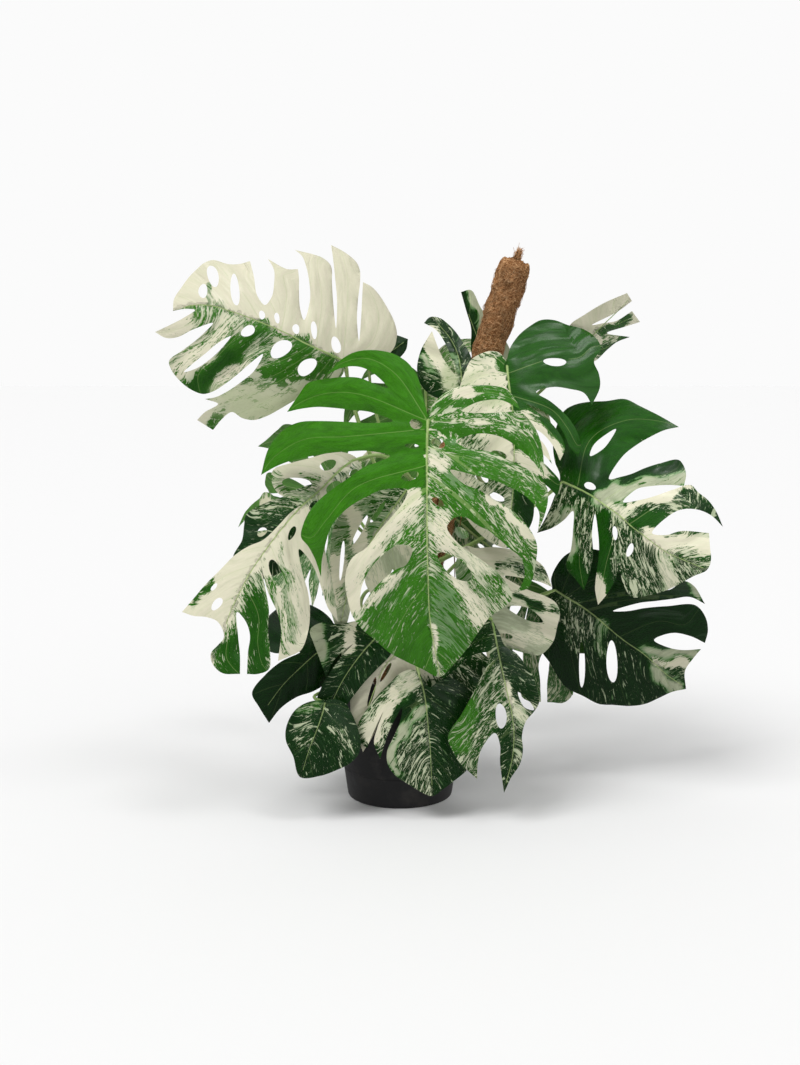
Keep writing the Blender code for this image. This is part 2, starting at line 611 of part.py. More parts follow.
def drape_forward(leaf, midrib, x, y):
    """Return how far forward of the pot's axis the blade's middle layer lies at a place."""
    base = midrib[0]
    tip = midrib[-1]
    run_x = tip[0] - base[0]
    run_y = tip[1] - base[1]
    length = math.hypot(run_x, run_y)
    along = ((x - base[0]) * run_x + (y - base[1]) * run_y) / length ** 2
    across = (run_x * (y - base[1]) - run_y * (x - base[0])) / length ** 2
    if leaf.mirror:
        across = -across
    side = leaf.drape.left if across > 0.0 else leaf.drape.right
    halves = abs(across) * 2.0
    return (
        leaf.drape.base
        + (leaf.drape.tip - leaf.drape.base) * along
        + leaf.drape.arch * math.sin(math.pi * min(max(along, ARCH_FROM), ARCH_TO))
        + side * halves
        + leaf.drape.cup * halves ** 2
    )


def thin_out(loop):
    """Drop the points of a closed loop that lie almost on the line between their neighbours."""
    kept = list(loop)
    index = 0
    while index < len(kept):
        before = Vector(kept[index - 1])
        here = Vector(kept[index])
        after = Vector(kept[(index + 1) % len(kept)])
        chord = after - before
        spread = abs(chord.x * (here - before).y - chord.y * (here - before).x)
        is_between = (here - before).dot(chord) > 0.0 and (here - after).dot(chord) < 0.0
        if is_between and spread < EDGE_TOLERANCE * chord.length:
            del kept[index]
        index += 1
    return kept


def edge_distances(points, loops):
    """Return each point's distance to the nearest edge of the loops."""
    nearest = np.full(len(points), np.inf)
    for loop in loops:
        starts = np.array(loop)
        ends = np.roll(starts, -1, axis=0)
        for start, end in zip(starts, ends):
            run = end - start
            share = np.clip(((points - start) @ run) / (run @ run), 0.0, 1.0)
            gaps = np.linalg.norm(points - (start + share[:, None] * run), axis=1)
            nearest = np.minimum(nearest, gaps)
    return nearest


def inside_blade(points, loops):
    """Tell which points lie on the blade: inside its edge and outside its holes."""
    odd = np.zeros(len(points), dtype=bool)
    for loop in loops:
        starts = np.array(loop)
        ends = np.roll(starts, -1, axis=0)
        for start, end in zip(starts, ends):
            spans = (start[1] > points[:, 1]) != (end[1] > points[:, 1])
            rise = end[1] - start[1]
            if rise != 0.0:
                crossing = start[0] + (points[:, 1] - start[1]) / rise * (end[0] - start[0])
                odd ^= spans & (points[:, 0] < crossing)
    return odd


def inner_points(loops, midrib):
    """Return places within the blade that let it bend: along the midrib and on a coarse grid."""
    outline = np.array(loops[0])
    low = outline.min(axis=0)
    high = outline.max(axis=0)
    places = []
    row_height = INNER_STEP * math.sqrt(0.75)
    for row in range(int((high[1] - low[1]) / row_height) + 1):
        for column in range(int((high[0] - low[0]) / INNER_STEP) + 1):
            offset = 0.5 * INNER_STEP * (row % 2)
            places.append((low[0] + offset + column * INNER_STEP, low[1] + row * row_height))
    grid = np.array(places)
    clear = inside_blade(grid, loops) & (edge_distances(grid, loops) > INNER_CLEARANCE)
    grid = grid[clear]
    ribs = np.array(midrib)
    ribs = ribs[inside_blade(ribs, loops) & (edge_distances(ribs, loops) > RIB_CLEARANCE)]
    spaced = [place for place in grid if np.linalg.norm(ribs - place, axis=1).min() > INNER_CLEARANCE]
    return [tuple(place) for place in ribs], [tuple(place) for place in spaced]


def place_key(x, y):
    """Return a rounded place, by which a rib point is found again after the blade is divided."""
    return round(x, PLACE_DIGITS), round(y, PLACE_DIGITS)


def blade_mesh(leaf):
    """Build the closed thin solid of one blade, with its cut edge, its holes and its thick midrib."""
    midrib = set_out(leaf, leaf.midrib)
    loops = [thin_out(set_out(leaf, leaf.edge))]
    loops.extend(set_out(leaf, hole.loop()) for hole in leaf.holes)
    ribs, others = inner_points(loops, midrib)
    flat = []
    edges = []
    for loop in loops:
        first = len(flat)
        flat.extend(Vector(point) for point in loop)
        edges.extend((first + i, first + (i + 1) % len(loop)) for i in range(len(loop)))
    flat.extend(Vector(point) for point in ribs + others)
    places, _, faces, _, _, _ = delaunay_2d_cdt(flat, edges, [], 0, MERGE_DISTANCE)
    middles = np.array([[places[i] for i in face] for face in faces]).mean(axis=1)
    kept = [tuple(face) for face, is_in in zip(faces, inside_blade(middles, loops)) if is_in]
    rib_orders = {place_key(x, y): index for index, (x, y) in enumerate(ribs)}
    mesh = bmesh.new()
    front = {}
    back = {}
    for index in sorted({index for face in kept for index in face}):
        x, y = places[index]
        middle = drape_forward(leaf, midrib, x, y)
        order = rib_orders.get(place_key(x, y))
        rib = 0.0 if order is None else RIB_DEPTH * (1.0 - RIB_TAPER * order / len(ribs))
        front[index] = mesh.verts.new(sight_point(x, y, middle + BLADE_HALF, leaf.turn))
        back[index] = mesh.verts.new(sight_point(x, y, middle - BLADE_HALF - rib, leaf.turn))
    uses = {}
    for a, b, c in kept:
        mesh.faces.new((front[a], front[b], front[c]))
        mesh.faces.new((back[c], back[b], back[a]))
        for start, end in ((a, b), (b, c), (c, a)):
            key = (min(start, end), max(start, end))
            uses.setdefault(key, []).append((start, end))
    for directions in uses.values():
        if len(directions) == 1:
            start, end = directions[0]
            mesh.faces.new((front[end], front[start], back[start]))
            mesh.faces.new((front[end], back[start], back[end]))
    bmesh.ops.recalc_face_normals(mesh, faces=mesh.faces)
    return mesh


def smooth_route(points, step):
    """Return places along one smooth curve through the points, about a step apart."""
    route = [points[0]]
    for index in range(len(points) - 1):
        before = points[max(index - 1, 0)]
        start = points[index]
        end = points[index + 1]
        after = points[min(index + 2, len(points) - 1)]
        pieces = max(1, round((end - start).length / step))
        for piece in range(1, pieces + 1):
            t = piece / pieces
            route.append(0.5 * (
                2.0 * start
                + (end - before) * t
                + (2.0 * before - 5.0 * start + 4.0 * end - after) * t ** 2
                + (3.0 * start - before - 3.0 * end + after) * t ** 3
            ))
    return route


def tube_mesh(route, radii, sides, first_direction=None):
    """Build a closed tube with flat ends along a route, with a radius at each of its places."""
    mesh = bmesh.new()
    rings = []
    count = len(route)
    previous = None
    for index, (place, radius) in enumerate(zip(route, radii)):
        if index == 0:
            direction = first_direction or (route[1] - route[0]).normalized()
        elif index == count - 1:
            direction = (route[-1] - route[-2]).normalized()
        else:
            direction = (route[index + 1] - route[index - 1]).normalized()
        if previous is None:
            aside = direction.orthogonal().normalized()
        else:
            aside = (previous - direction * previous.dot(direction)).normalized()
        previous = aside
        other = direction.cross(aside)
        ring = []
        for side in range(sides):
            angle = 2.0 * math.pi * side / sides
            spoke = aside * math.cos(angle) + other * math.sin(angle)
            ring.append(mesh.verts.new(place + spoke * radius))
        rings.append(ring)
    for lower, upper in zip(rings, rings[1:]):
        for side in range(sides):
            following = (side + 1) % sides
            mesh.faces.new((lower[side], lower[following], upper[following], upper[side]))
    mesh.faces.new(rings[0])
    mesh.faces.new(rings[-1])
    bmesh.ops.recalc_face_normals(mesh, faces=mesh.faces)
    return mesh


def turned_mesh(profile, sides):
    """Build a closed body by turning a profile of (radius, height) that starts and ends on the axis."""
    mesh = bmesh.new()
    rings = []
    for radius, height in profile:
        if radius == 0.0:
            rings.append([mesh.verts.new((0.0, 0.0, height))] * sides)
        else:
            rings.append([
                mesh.verts.new((
                    radius * math.cos(2.0 * math.pi * side / sides),
                    radius * math.sin(2.0 * math.pi * side / sides),
                    height,
                ))
                for side in range(sides)
            ])
    for lower, upper in zip(rings, rings[1:]):
        for side in range(sides):
            following = (side + 1) % sides
            corners = []
            for corner in (lower[side], lower[following], upper[following], upper[side]):
                if corner not in corners:
                    corners.append(corner)
            mesh.faces.new(corners)
    bmesh.ops.recalc_face_normals(mesh, faces=mesh.faces)
    return mesh


def make_material(name, colour, roughness):
    """Return a Principled material with a colour and a roughness."""
    material = bpy.data.materials.new(name)
    material.use_nodes = True
    shader = material.node_tree.nodes["Principled BSDF"]
    shader.inputs["Base Color"].default_value = (*colour, 1.0)
    shader.inputs["Roughness"].default_value = roughness
    material.diffuse_color = (*colour, 1.0)
    return material


def make_object(name, mesh, material=None):
    """Turn a bmesh into a named object in the scene."""
    data = bpy.data.meshes.new(name)
    mesh.to_mesh(data)
    mesh.free()
    if material is not None:
        data.materials.append(material)
    item = bpy.data.objects.new(name, data)
    bpy.context.scene.collection.objects.link(item)
    return item


def combine(item, tool, operation, solver="EXACT"):
    """Join a tool object to an item or cut it away, apply the result and remove the tool."""
    boolean = item.modifiers.new("combine", "BOOLEAN")
    boolean.operation = operation
    boolean.solver = solver
    boolean.object = tool
    bpy.context.view_layer.update()
    evaluated = item.evaluated_get(bpy.context.evaluated_depsgraph_get())
    result = bpy.data.meshes.new_from_object(evaluated)
    item.modifiers.clear()
    old = item.data
    item.data = result
    bpy.data.meshes.remove(old)
    bpy.data.objects.remove(tool)


def pole_point(height):
    """Return the place on the pole's axis at a height."""
    share = (height - POLE_FOOT.z) / (POLE_HEAD.z - POLE_FOOT.z)
    return POLE_FOOT.lerp(POLE_HEAD, share)


def pole_direction():
    """Return the direction in which the pole leans."""
    return (POLE_HEAD - POLE_FOOT).normalized()


def stem_point(height):
    """Return the place on the stem's axis at a height: beside the pole, on the viewer's side."""
    lean = pole_direction()
    towards_viewer = Vector((0.0, -1.0, 0.0))
    offset = (towards_viewer - lean * lean.dot(towards_viewer)).normalized()
    return pole_point(height) + offset * (POLE_RADIUS + STEM_RADIUS + STEM_GAP_TO_POLE)


def stem_radius(height):
    """Return the stem's radius at a height."""
    share = (height - STEM_FOOT) / (STEM_HEAD - STEM_FOOT)
    return STEM_RADIUS + (STEM_TOP_RADIUS - STEM_RADIUS) * share


def pole_radius(share):
    """Return the coir's radius at a share of the pole's length, with a slight waist near the top."""
    taper = POLE_RADIUS + (POLE_TOP_RADIUS - POLE_RADIUS) * share
    return taper - POLE_WAIST * math.exp(-((share - POLE_WAIST_AT) / POLE_WAIST_SPREAD) ** 2)


def lean_matrix():
    """Return the matrix that stands a turned body on the pole's foot, along its lean."""
    return Matrix.Translation(POLE_FOOT) @ pole_direction().to_track_quat("Z", "Y").to_matrix().to_4x4()


def make_pole():
    """Build the coir sleeve and the pipe that it is wound on."""
    length = (POLE_HEAD - POLE_FOOT).length
    profile = []
    for ring in range(POLE_RINGS + 1):
        share = ring / POLE_RINGS
        profile.append((pole_radius(share), share * (length - POLE_DOME)))
    profile.append((POLE_SHOULDER * POLE_TOP_RADIUS, length - POLE_SHOULDER_DROP * POLE_DOME))
    profile.append((0.0, length))
    bore = CORE_RADIUS + SEAT_GAP
    core_length = length - CORE_SHORTER
    bore_profile = [(0.0, core_length + SEAT_GAP), (bore, core_length + SEAT_GAP), (bore, 0.0)]
    coir = turned_mesh(bore_profile + profile, POLE_SIDES)
    coir.transform(lean_matrix())
    make_object("coir_pole", coir, make_material(*COIR))
    core_profile = [(0.0, 0.0), (CORE_RADIUS, 0.0), (CORE_RADIUS, core_length), (0.0, core_length)]
    core = turned_mesh(core_profile, POLE_SIDES)
    core.transform(lean_matrix())
    make_object("pole_core", core, make_material(*PIPE))


def make_stem():
    """Build the climbing stem on the viewer's side of the pole."""
    heights = np.linspace(STEM_FOOT, STEM_HEAD, STEM_RINGS + 1)
    route = [stem_point(height) for height in heights]
    radii = [stem_radius(height) for height in heights]
    make_object("stem", tube_mesh(route, radii, STEM_SIDES), make_material(*STEM_GREEN))


def make_pot():
    """Build the nursery pot: tapered wall, deep rim, flat base with drain holes."""
    rim_foot = POT_HEIGHT - POT_RIM_DEPTH
    taper = (POT_TOP_RADIUS - POT_BASE_RADIUS) / POT_HEIGHT
    profile = [
        (0.0, 0.0),
        (POT_BASE_RADIUS - POT_FOOT_BEVEL, 0.0),
        (POT_BASE_RADIUS, POT_FOOT_BEVEL),
        (POT_BASE_RADIUS + taper * rim_foot, rim_foot),
        (POT_TOP_RADIUS + POT_RIM_PROUD, rim_foot),
        (POT_TOP_RADIUS + POT_RIM_PROUD, POT_HEIGHT),
        (POT_TOP_RADIUS - POT_WALL, POT_HEIGHT),
        (POT_BASE_RADIUS - POT_WALL, POT_FLOOR),
        (0.0, POT_FLOOR),
    ]
    pot = make_object("pot", turned_mesh(profile, POT_SIDES), make_material(*BLACK_PLASTIC))
    for index in range(DRAIN_COUNT):
        angle = 2.0 * math.pi * index / DRAIN_COUNT + DRAIN_TURN
        centre = Vector((DRAIN_CIRCLE * math.cos(angle), DRAIN_CIRCLE * math.sin(angle), 0.0))
        reach = Vector((0.0, 0.0, 2.0 * POT_FLOOR))
        drain = tube_mesh([centre - reach, centre + reach], [DRAIN_RADIUS, DRAIN_RADIUS], DRAIN_SIDES)
        combine(pot, make_object("drain", drain), "DIFFERENCE")


def make_soil():
    """Build the soil that fills the pot, with plain holes for the pole and the stem."""
    top = POT_HEIGHT - SOIL_BELOW_RIM
    taper = (POT_TOP_RADIUS - POT_BASE_RADIUS) / (POT_HEIGHT - POT_FLOOR)
    foot = POT_FLOOR + SEAT_GAP
    foot_radius = POT_BASE_RADIUS - POT_WALL - 2.0 * SEAT_GAP
    profile = [(0.0, foot), (foot_radius, foot), (foot_radius + taper * (top - foot), top)]
    profile += [(out * POT_TOP_RADIUS, top + up * SOIL_MOUND) for out, up in SOIL_SLOPE]
    profile.append((0.0, top + SOIL_MOUND))
    soil = make_object("soil", turned_mesh(profile, POT_SIDES), make_material(*SOIL))
    for name, foot_place, head_place, radius in (
        ("pole_hole", POLE_FOOT, pole_point(HOLE_REACH), POLE_RADIUS),
        ("stem_hole", stem_point(STEM_FOOT), stem_point(HOLE_REACH), STEM_RADIUS),
    ):
        hole_radius = (radius + SEAT_GAP) / math.cos(math.pi / CUTTER_SIDES)
        start = foot_place - pole_direction() * SEAT_GAP
        hole = tube_mesh([start, head_place], [hole_radius, hole_radius], CUTTER_SIDES)
        combine(soil, make_object(name, hole), "DIFFERENCE")


def petiole_route(leaf):
    """Return the petiole's route from the stem's surface to the blade, and its first direction."""
    midrib = set_out(leaf, leaf.midrib)
    points = [sight_point(x, y, forward) for x, y, forward in leaf.around]
    for x, y, forward in leaf.petiole:
        (x, y), = set_out(leaf, [(x, y)])
        points.append(sight_point(x, y, forward, leaf.turn))
    join_x, join_y = midrib[0]
    join = sight_point(join_x, join_y, drape_forward(leaf, midrib, join_x, join_y) - BLADE_HALF, leaf.turn)
    centre = stem_point(leaf.leaves_stem)
    lean = pole_direction()
    outward = points[0] - centre
    outward = (outward - lean * lean.dot(outward)).normalized()
    start = centre + outward * (stem_radius(leaf.leaves_stem) + SEAT_GAP)
    second = start + outward * SHEATH_OUT + lean * SHEATH_UP
    return [start] + smooth_route([second] + points + [join], PETIOLE_STEP), outward


def leaf_size(leaf):
    """Return the midrib's length in metres, as seen on the picture plane."""
    base = leaf.midrib[0]
    tip = leaf.midrib[-1]
    return math.hypot(tip[0] - base[0], tip[1] - base[1]) * PLANE_UNIT * leaf.grow


def make_leaf(leaf):
    """Build one leaf: its blade fused with its petiole."""
    blade = make_object(leaf.name, blade_mesh(leaf), make_material(leaf.name, leaf.colour, BLADE_ROUGHNESS))
    route, outward = petiole_route(leaf)
    stoutness = min(1.0, PETIOLE_LEAST + (1.0 - PETIOLE_LEAST) * leaf_size(leaf) / PETIOLE_FULL_LEAF)
    radii = []
    for index in range(len(route)):
        share = index / (len(route) - 1)
        radii.append(stoutness * (PETIOLE_RADIUS + (PETIOLE_END_RADIUS - PETIOLE_RADIUS) * share))
    petiole = tube_mesh(route, radii, PETIOLE_SIDES, outward)
    combine(blade, make_object("petiole", petiole), "UNION")


def clear_scene():
    """Remove every object from the scene."""
    for item in list(bpy.data.objects):
        bpy.data.objects.remove(item)


def main():
    """Build the plant, its pole and its pot."""
    clear_scene()
    make_pot()
    make_soil()
    make_pole()
    make_stem()
    for leaf in LEAVES + REAR_LEAVES:
        make_leaf(leaf)


main()
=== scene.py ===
"""The finished looks of a white-variegated monstera on a coir pole, in a nursery pot.

Metres, +Z up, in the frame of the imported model, with -Y towards the viewer. The
blades are drawn on an upright picture plane through the pot's axis and carried
along the viewer's sight lines to the depth at which each leaf hangs.
"""
import logging
import math
from dataclasses import dataclass, field, replace
from enum import Enum

import bpy
import numpy as np
from mathutils import Matrix, Vector, noise
from mathutils.geometry import delaunay_2d_cdt


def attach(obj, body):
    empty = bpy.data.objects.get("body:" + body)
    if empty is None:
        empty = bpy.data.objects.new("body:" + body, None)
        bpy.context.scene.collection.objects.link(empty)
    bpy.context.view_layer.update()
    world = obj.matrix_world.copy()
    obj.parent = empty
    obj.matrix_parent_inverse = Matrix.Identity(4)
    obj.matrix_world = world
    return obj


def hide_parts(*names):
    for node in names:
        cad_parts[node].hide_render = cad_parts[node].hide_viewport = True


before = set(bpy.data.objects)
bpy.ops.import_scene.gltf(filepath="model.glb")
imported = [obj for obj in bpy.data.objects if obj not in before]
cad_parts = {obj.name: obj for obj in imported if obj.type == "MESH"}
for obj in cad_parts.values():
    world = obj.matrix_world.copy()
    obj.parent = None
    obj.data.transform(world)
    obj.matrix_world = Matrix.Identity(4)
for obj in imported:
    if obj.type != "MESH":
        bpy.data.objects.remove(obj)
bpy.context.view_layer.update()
LOG = logging.getLogger("monstera")

# The picture plane: size of one unit, the viewer's distance and tilt, and where the floor lies
PLANE_UNIT = 0.0021
PLANE_SIZE = (800.0, 1065.0)
PLANE_CENTRE = (400.0, 532.5)
PLANE_FLOOR = 800.0
VIEW_DISTANCE = 2.6
VIEW_TILT = math.radians(7.0)

# The leaning line of the pole: across, away from the viewer, up
POLE_FOOT = Vector((-0.073, 0.0, 0.085))
POLE_HEAD = Vector((0.243, 0.052, 1.130))

Array = np.ndarray
Place = tuple[float, float]
Faces = list[tuple[int, ...]]
Inputs = dict[int | str, object]
Socket = bpy.types.NodeSocket
Tree = bpy.types.NodeTree
Material = bpy.types.Material


def path(text: str) -> tuple[Place, ...]:
    """Read places on the picture plane from text: across,down for each, with spaces between."""
    return tuple(tuple(float(number) for number in place.split(",")) for place in text.split())


class Tone(Enum):
    """How a stretch of a blade is coloured: its shares of cream, sage, dark green and pale green."""
    GREEN = (0.0, 0.0, 0.0, 0.0)
    GREEN_FLECKED = (0.12, 0.14, 0.10, 0.0)
    GREEN_STREAKED = (0.18, 0.20, 0.0, 0.0)
    GREEN_SAGE = (0.07, 0.64, 0.0, 0.0)
    MARBLED = (0.36, 0.16, 0.10, 0.0)
    CREAM_FLECKED = (0.80, 0.30, 0.10, 0.0)
    CREAM = (1.0, 0.0, 0.0, 0.0)
    SAGE = (0.05, 0.95, 0.10, 0.0)
    SAGE_FLECKED = (0.26, 0.65, 0.20, 0.0)
    CREAM_SAGE = (0.62, 0.90, 0.0, 0.0)
    DEEP = (0.0, 0.0, 0.45, 0.0)
    DEEP_MARBLED = (0.34, 0.14, 0.60, 0.0)
    DARK = (0.0, 0.03, 1.0, 0.0)
    DARK_FLECKED = (0.14, 0.16, 1.0, 0.0)
    DARK_MARBLED = (0.30, 0.24, 0.92, 0.0)
    PALE = (0.80, 0.40, 0.0, 1.0)


@dataclass(frozen=True)
class Oval:
    """A rounded hole in a blade: centre, length, width and turn on the picture plane."""
    x: float
    y: float
    length: float
    width: float
    turn: float = 0.0

    def loop(self) -> Array:
        """Draw the hole's outline, a little squarer than an ellipse.

        Returns:
            The outline's places, one a row.
        """
        angles = full_turn(OVAL_SIDES)
        fullness = 1.0 + 0.04 * np.cos(3.0 * angles + self.x)
        along = 0.5 * self.length * np.cos(angles) * fullness
        across = 0.5 * self.width * np.sin(angles) * fullness
        turn = math.radians(self.turn)
        return np.column_stack((
            self.x + along * math.cos(turn) - across * math.sin(turn),
            self.y + along * math.sin(turn) + across * math.cos(turn),
        ))


@dataclass(frozen=True)
class Slot:
    """A drawn-out hole in a blade, with its points on the picture plane."""
    points: tuple[Place, ...]

    def loop(self) -> Array:
        """Return the hole's outline as a smooth closed curve."""
        return smooth_loop(self.points, EDGE_STEP, False)


@dataclass(frozen=True)
class Drape:
    """How far a blade stands forward of the pot's axis, in metres.

    base and tip hold along the midrib, arch is added half way, left and right
    are added half a midrib's length to each side, and cup bends both sides.
    """
    base: float
    tip: float
    arch: float = 0.0
    left: float = 0.0
    right: float = 0.0
    cup: float = 0.0


@dataclass(frozen=True)
class Patch:
    """A stretch of a blade that has its own tone, along a line on the picture plane."""
    tone: Tone
    reach: float
    start: Place
    end: Place


@dataclass(frozen=True)
class LeafLook:
    """The tones of a blade: one for each side of the midrib, and patches over them.

    Its painted shade darkens the colour of the whole leaf a little.
    """
    left: Tone
    right: Tone
    patches: tuple[Patch, ...] = ()
    painted_shade: float = 0.0

    @classmethod
    def read(cls, halves: str, strokes: str, painted_shade: float = 0.0) -> "LeafLook":
        """Read a blade's tones from text.

        Args:
            halves: the tones of the left and the right half.
            strokes: the patches, one a line: tone, reach, start and end.
            painted_shade: how much painted shade darkens the leaf's colour.

        Returns:
            The blade's tones.
        """
        patches = []
        for stroke in strokes.strip().splitlines():
            tone, reach, line = stroke.split(maxsplit=2)
            patches.append(Patch(Tone[tone], float(reach), *path(line)))
        left, right = (Tone[half] for half in halves.split())
        return cls(left, right, tuple(patches), painted_shade)


@dataclass(frozen=True)
class LeafPlan:
    """One leaf: midrib from petiole to tip, edge, holes, drape and petiole.

    petiole holds places between the stem and the blade: across, down, forward.
    leaves_stem is the height at which the petiole leaves the stem. turn, shift
    and grow place a leaf on the plant's far side, and around holds the places
    that its petiole passes on its way round the pole.
    """
    name: str
    midrib: tuple[Place, ...]
    edge: tuple[Place, ...]
    holes: tuple[Oval | Slot, ...]
    drape: Drape
    petiole: tuple[tuple[float, float, float], ...]
    leaves_stem: float
    turn: float = 0.0
    shift: Place = (0.0, 0.0)
    grow: float = 1.0
    around: tuple[tuple[float, float, float], ...] = ()


# How finely a blade is divided, in plane units, and the turn from which a corner of its edge stays sharp
EDGE_STEP = 2.4
GRID_STEP = 3.0
LINE_STEP = 3.5
EDGE_CLEAR = 1.3
LINE_CLEAR = 1.3
MERGE_DISTANCE = 1e-5
CORNER_TURN = math.radians(78.0)

# How many sides a rounded hole has
OVAL_SIDES = 24

# Lengths and gaps under these count as none
LEAST_GAP = 1e-6
LEAST_LENGTH = 1e-9


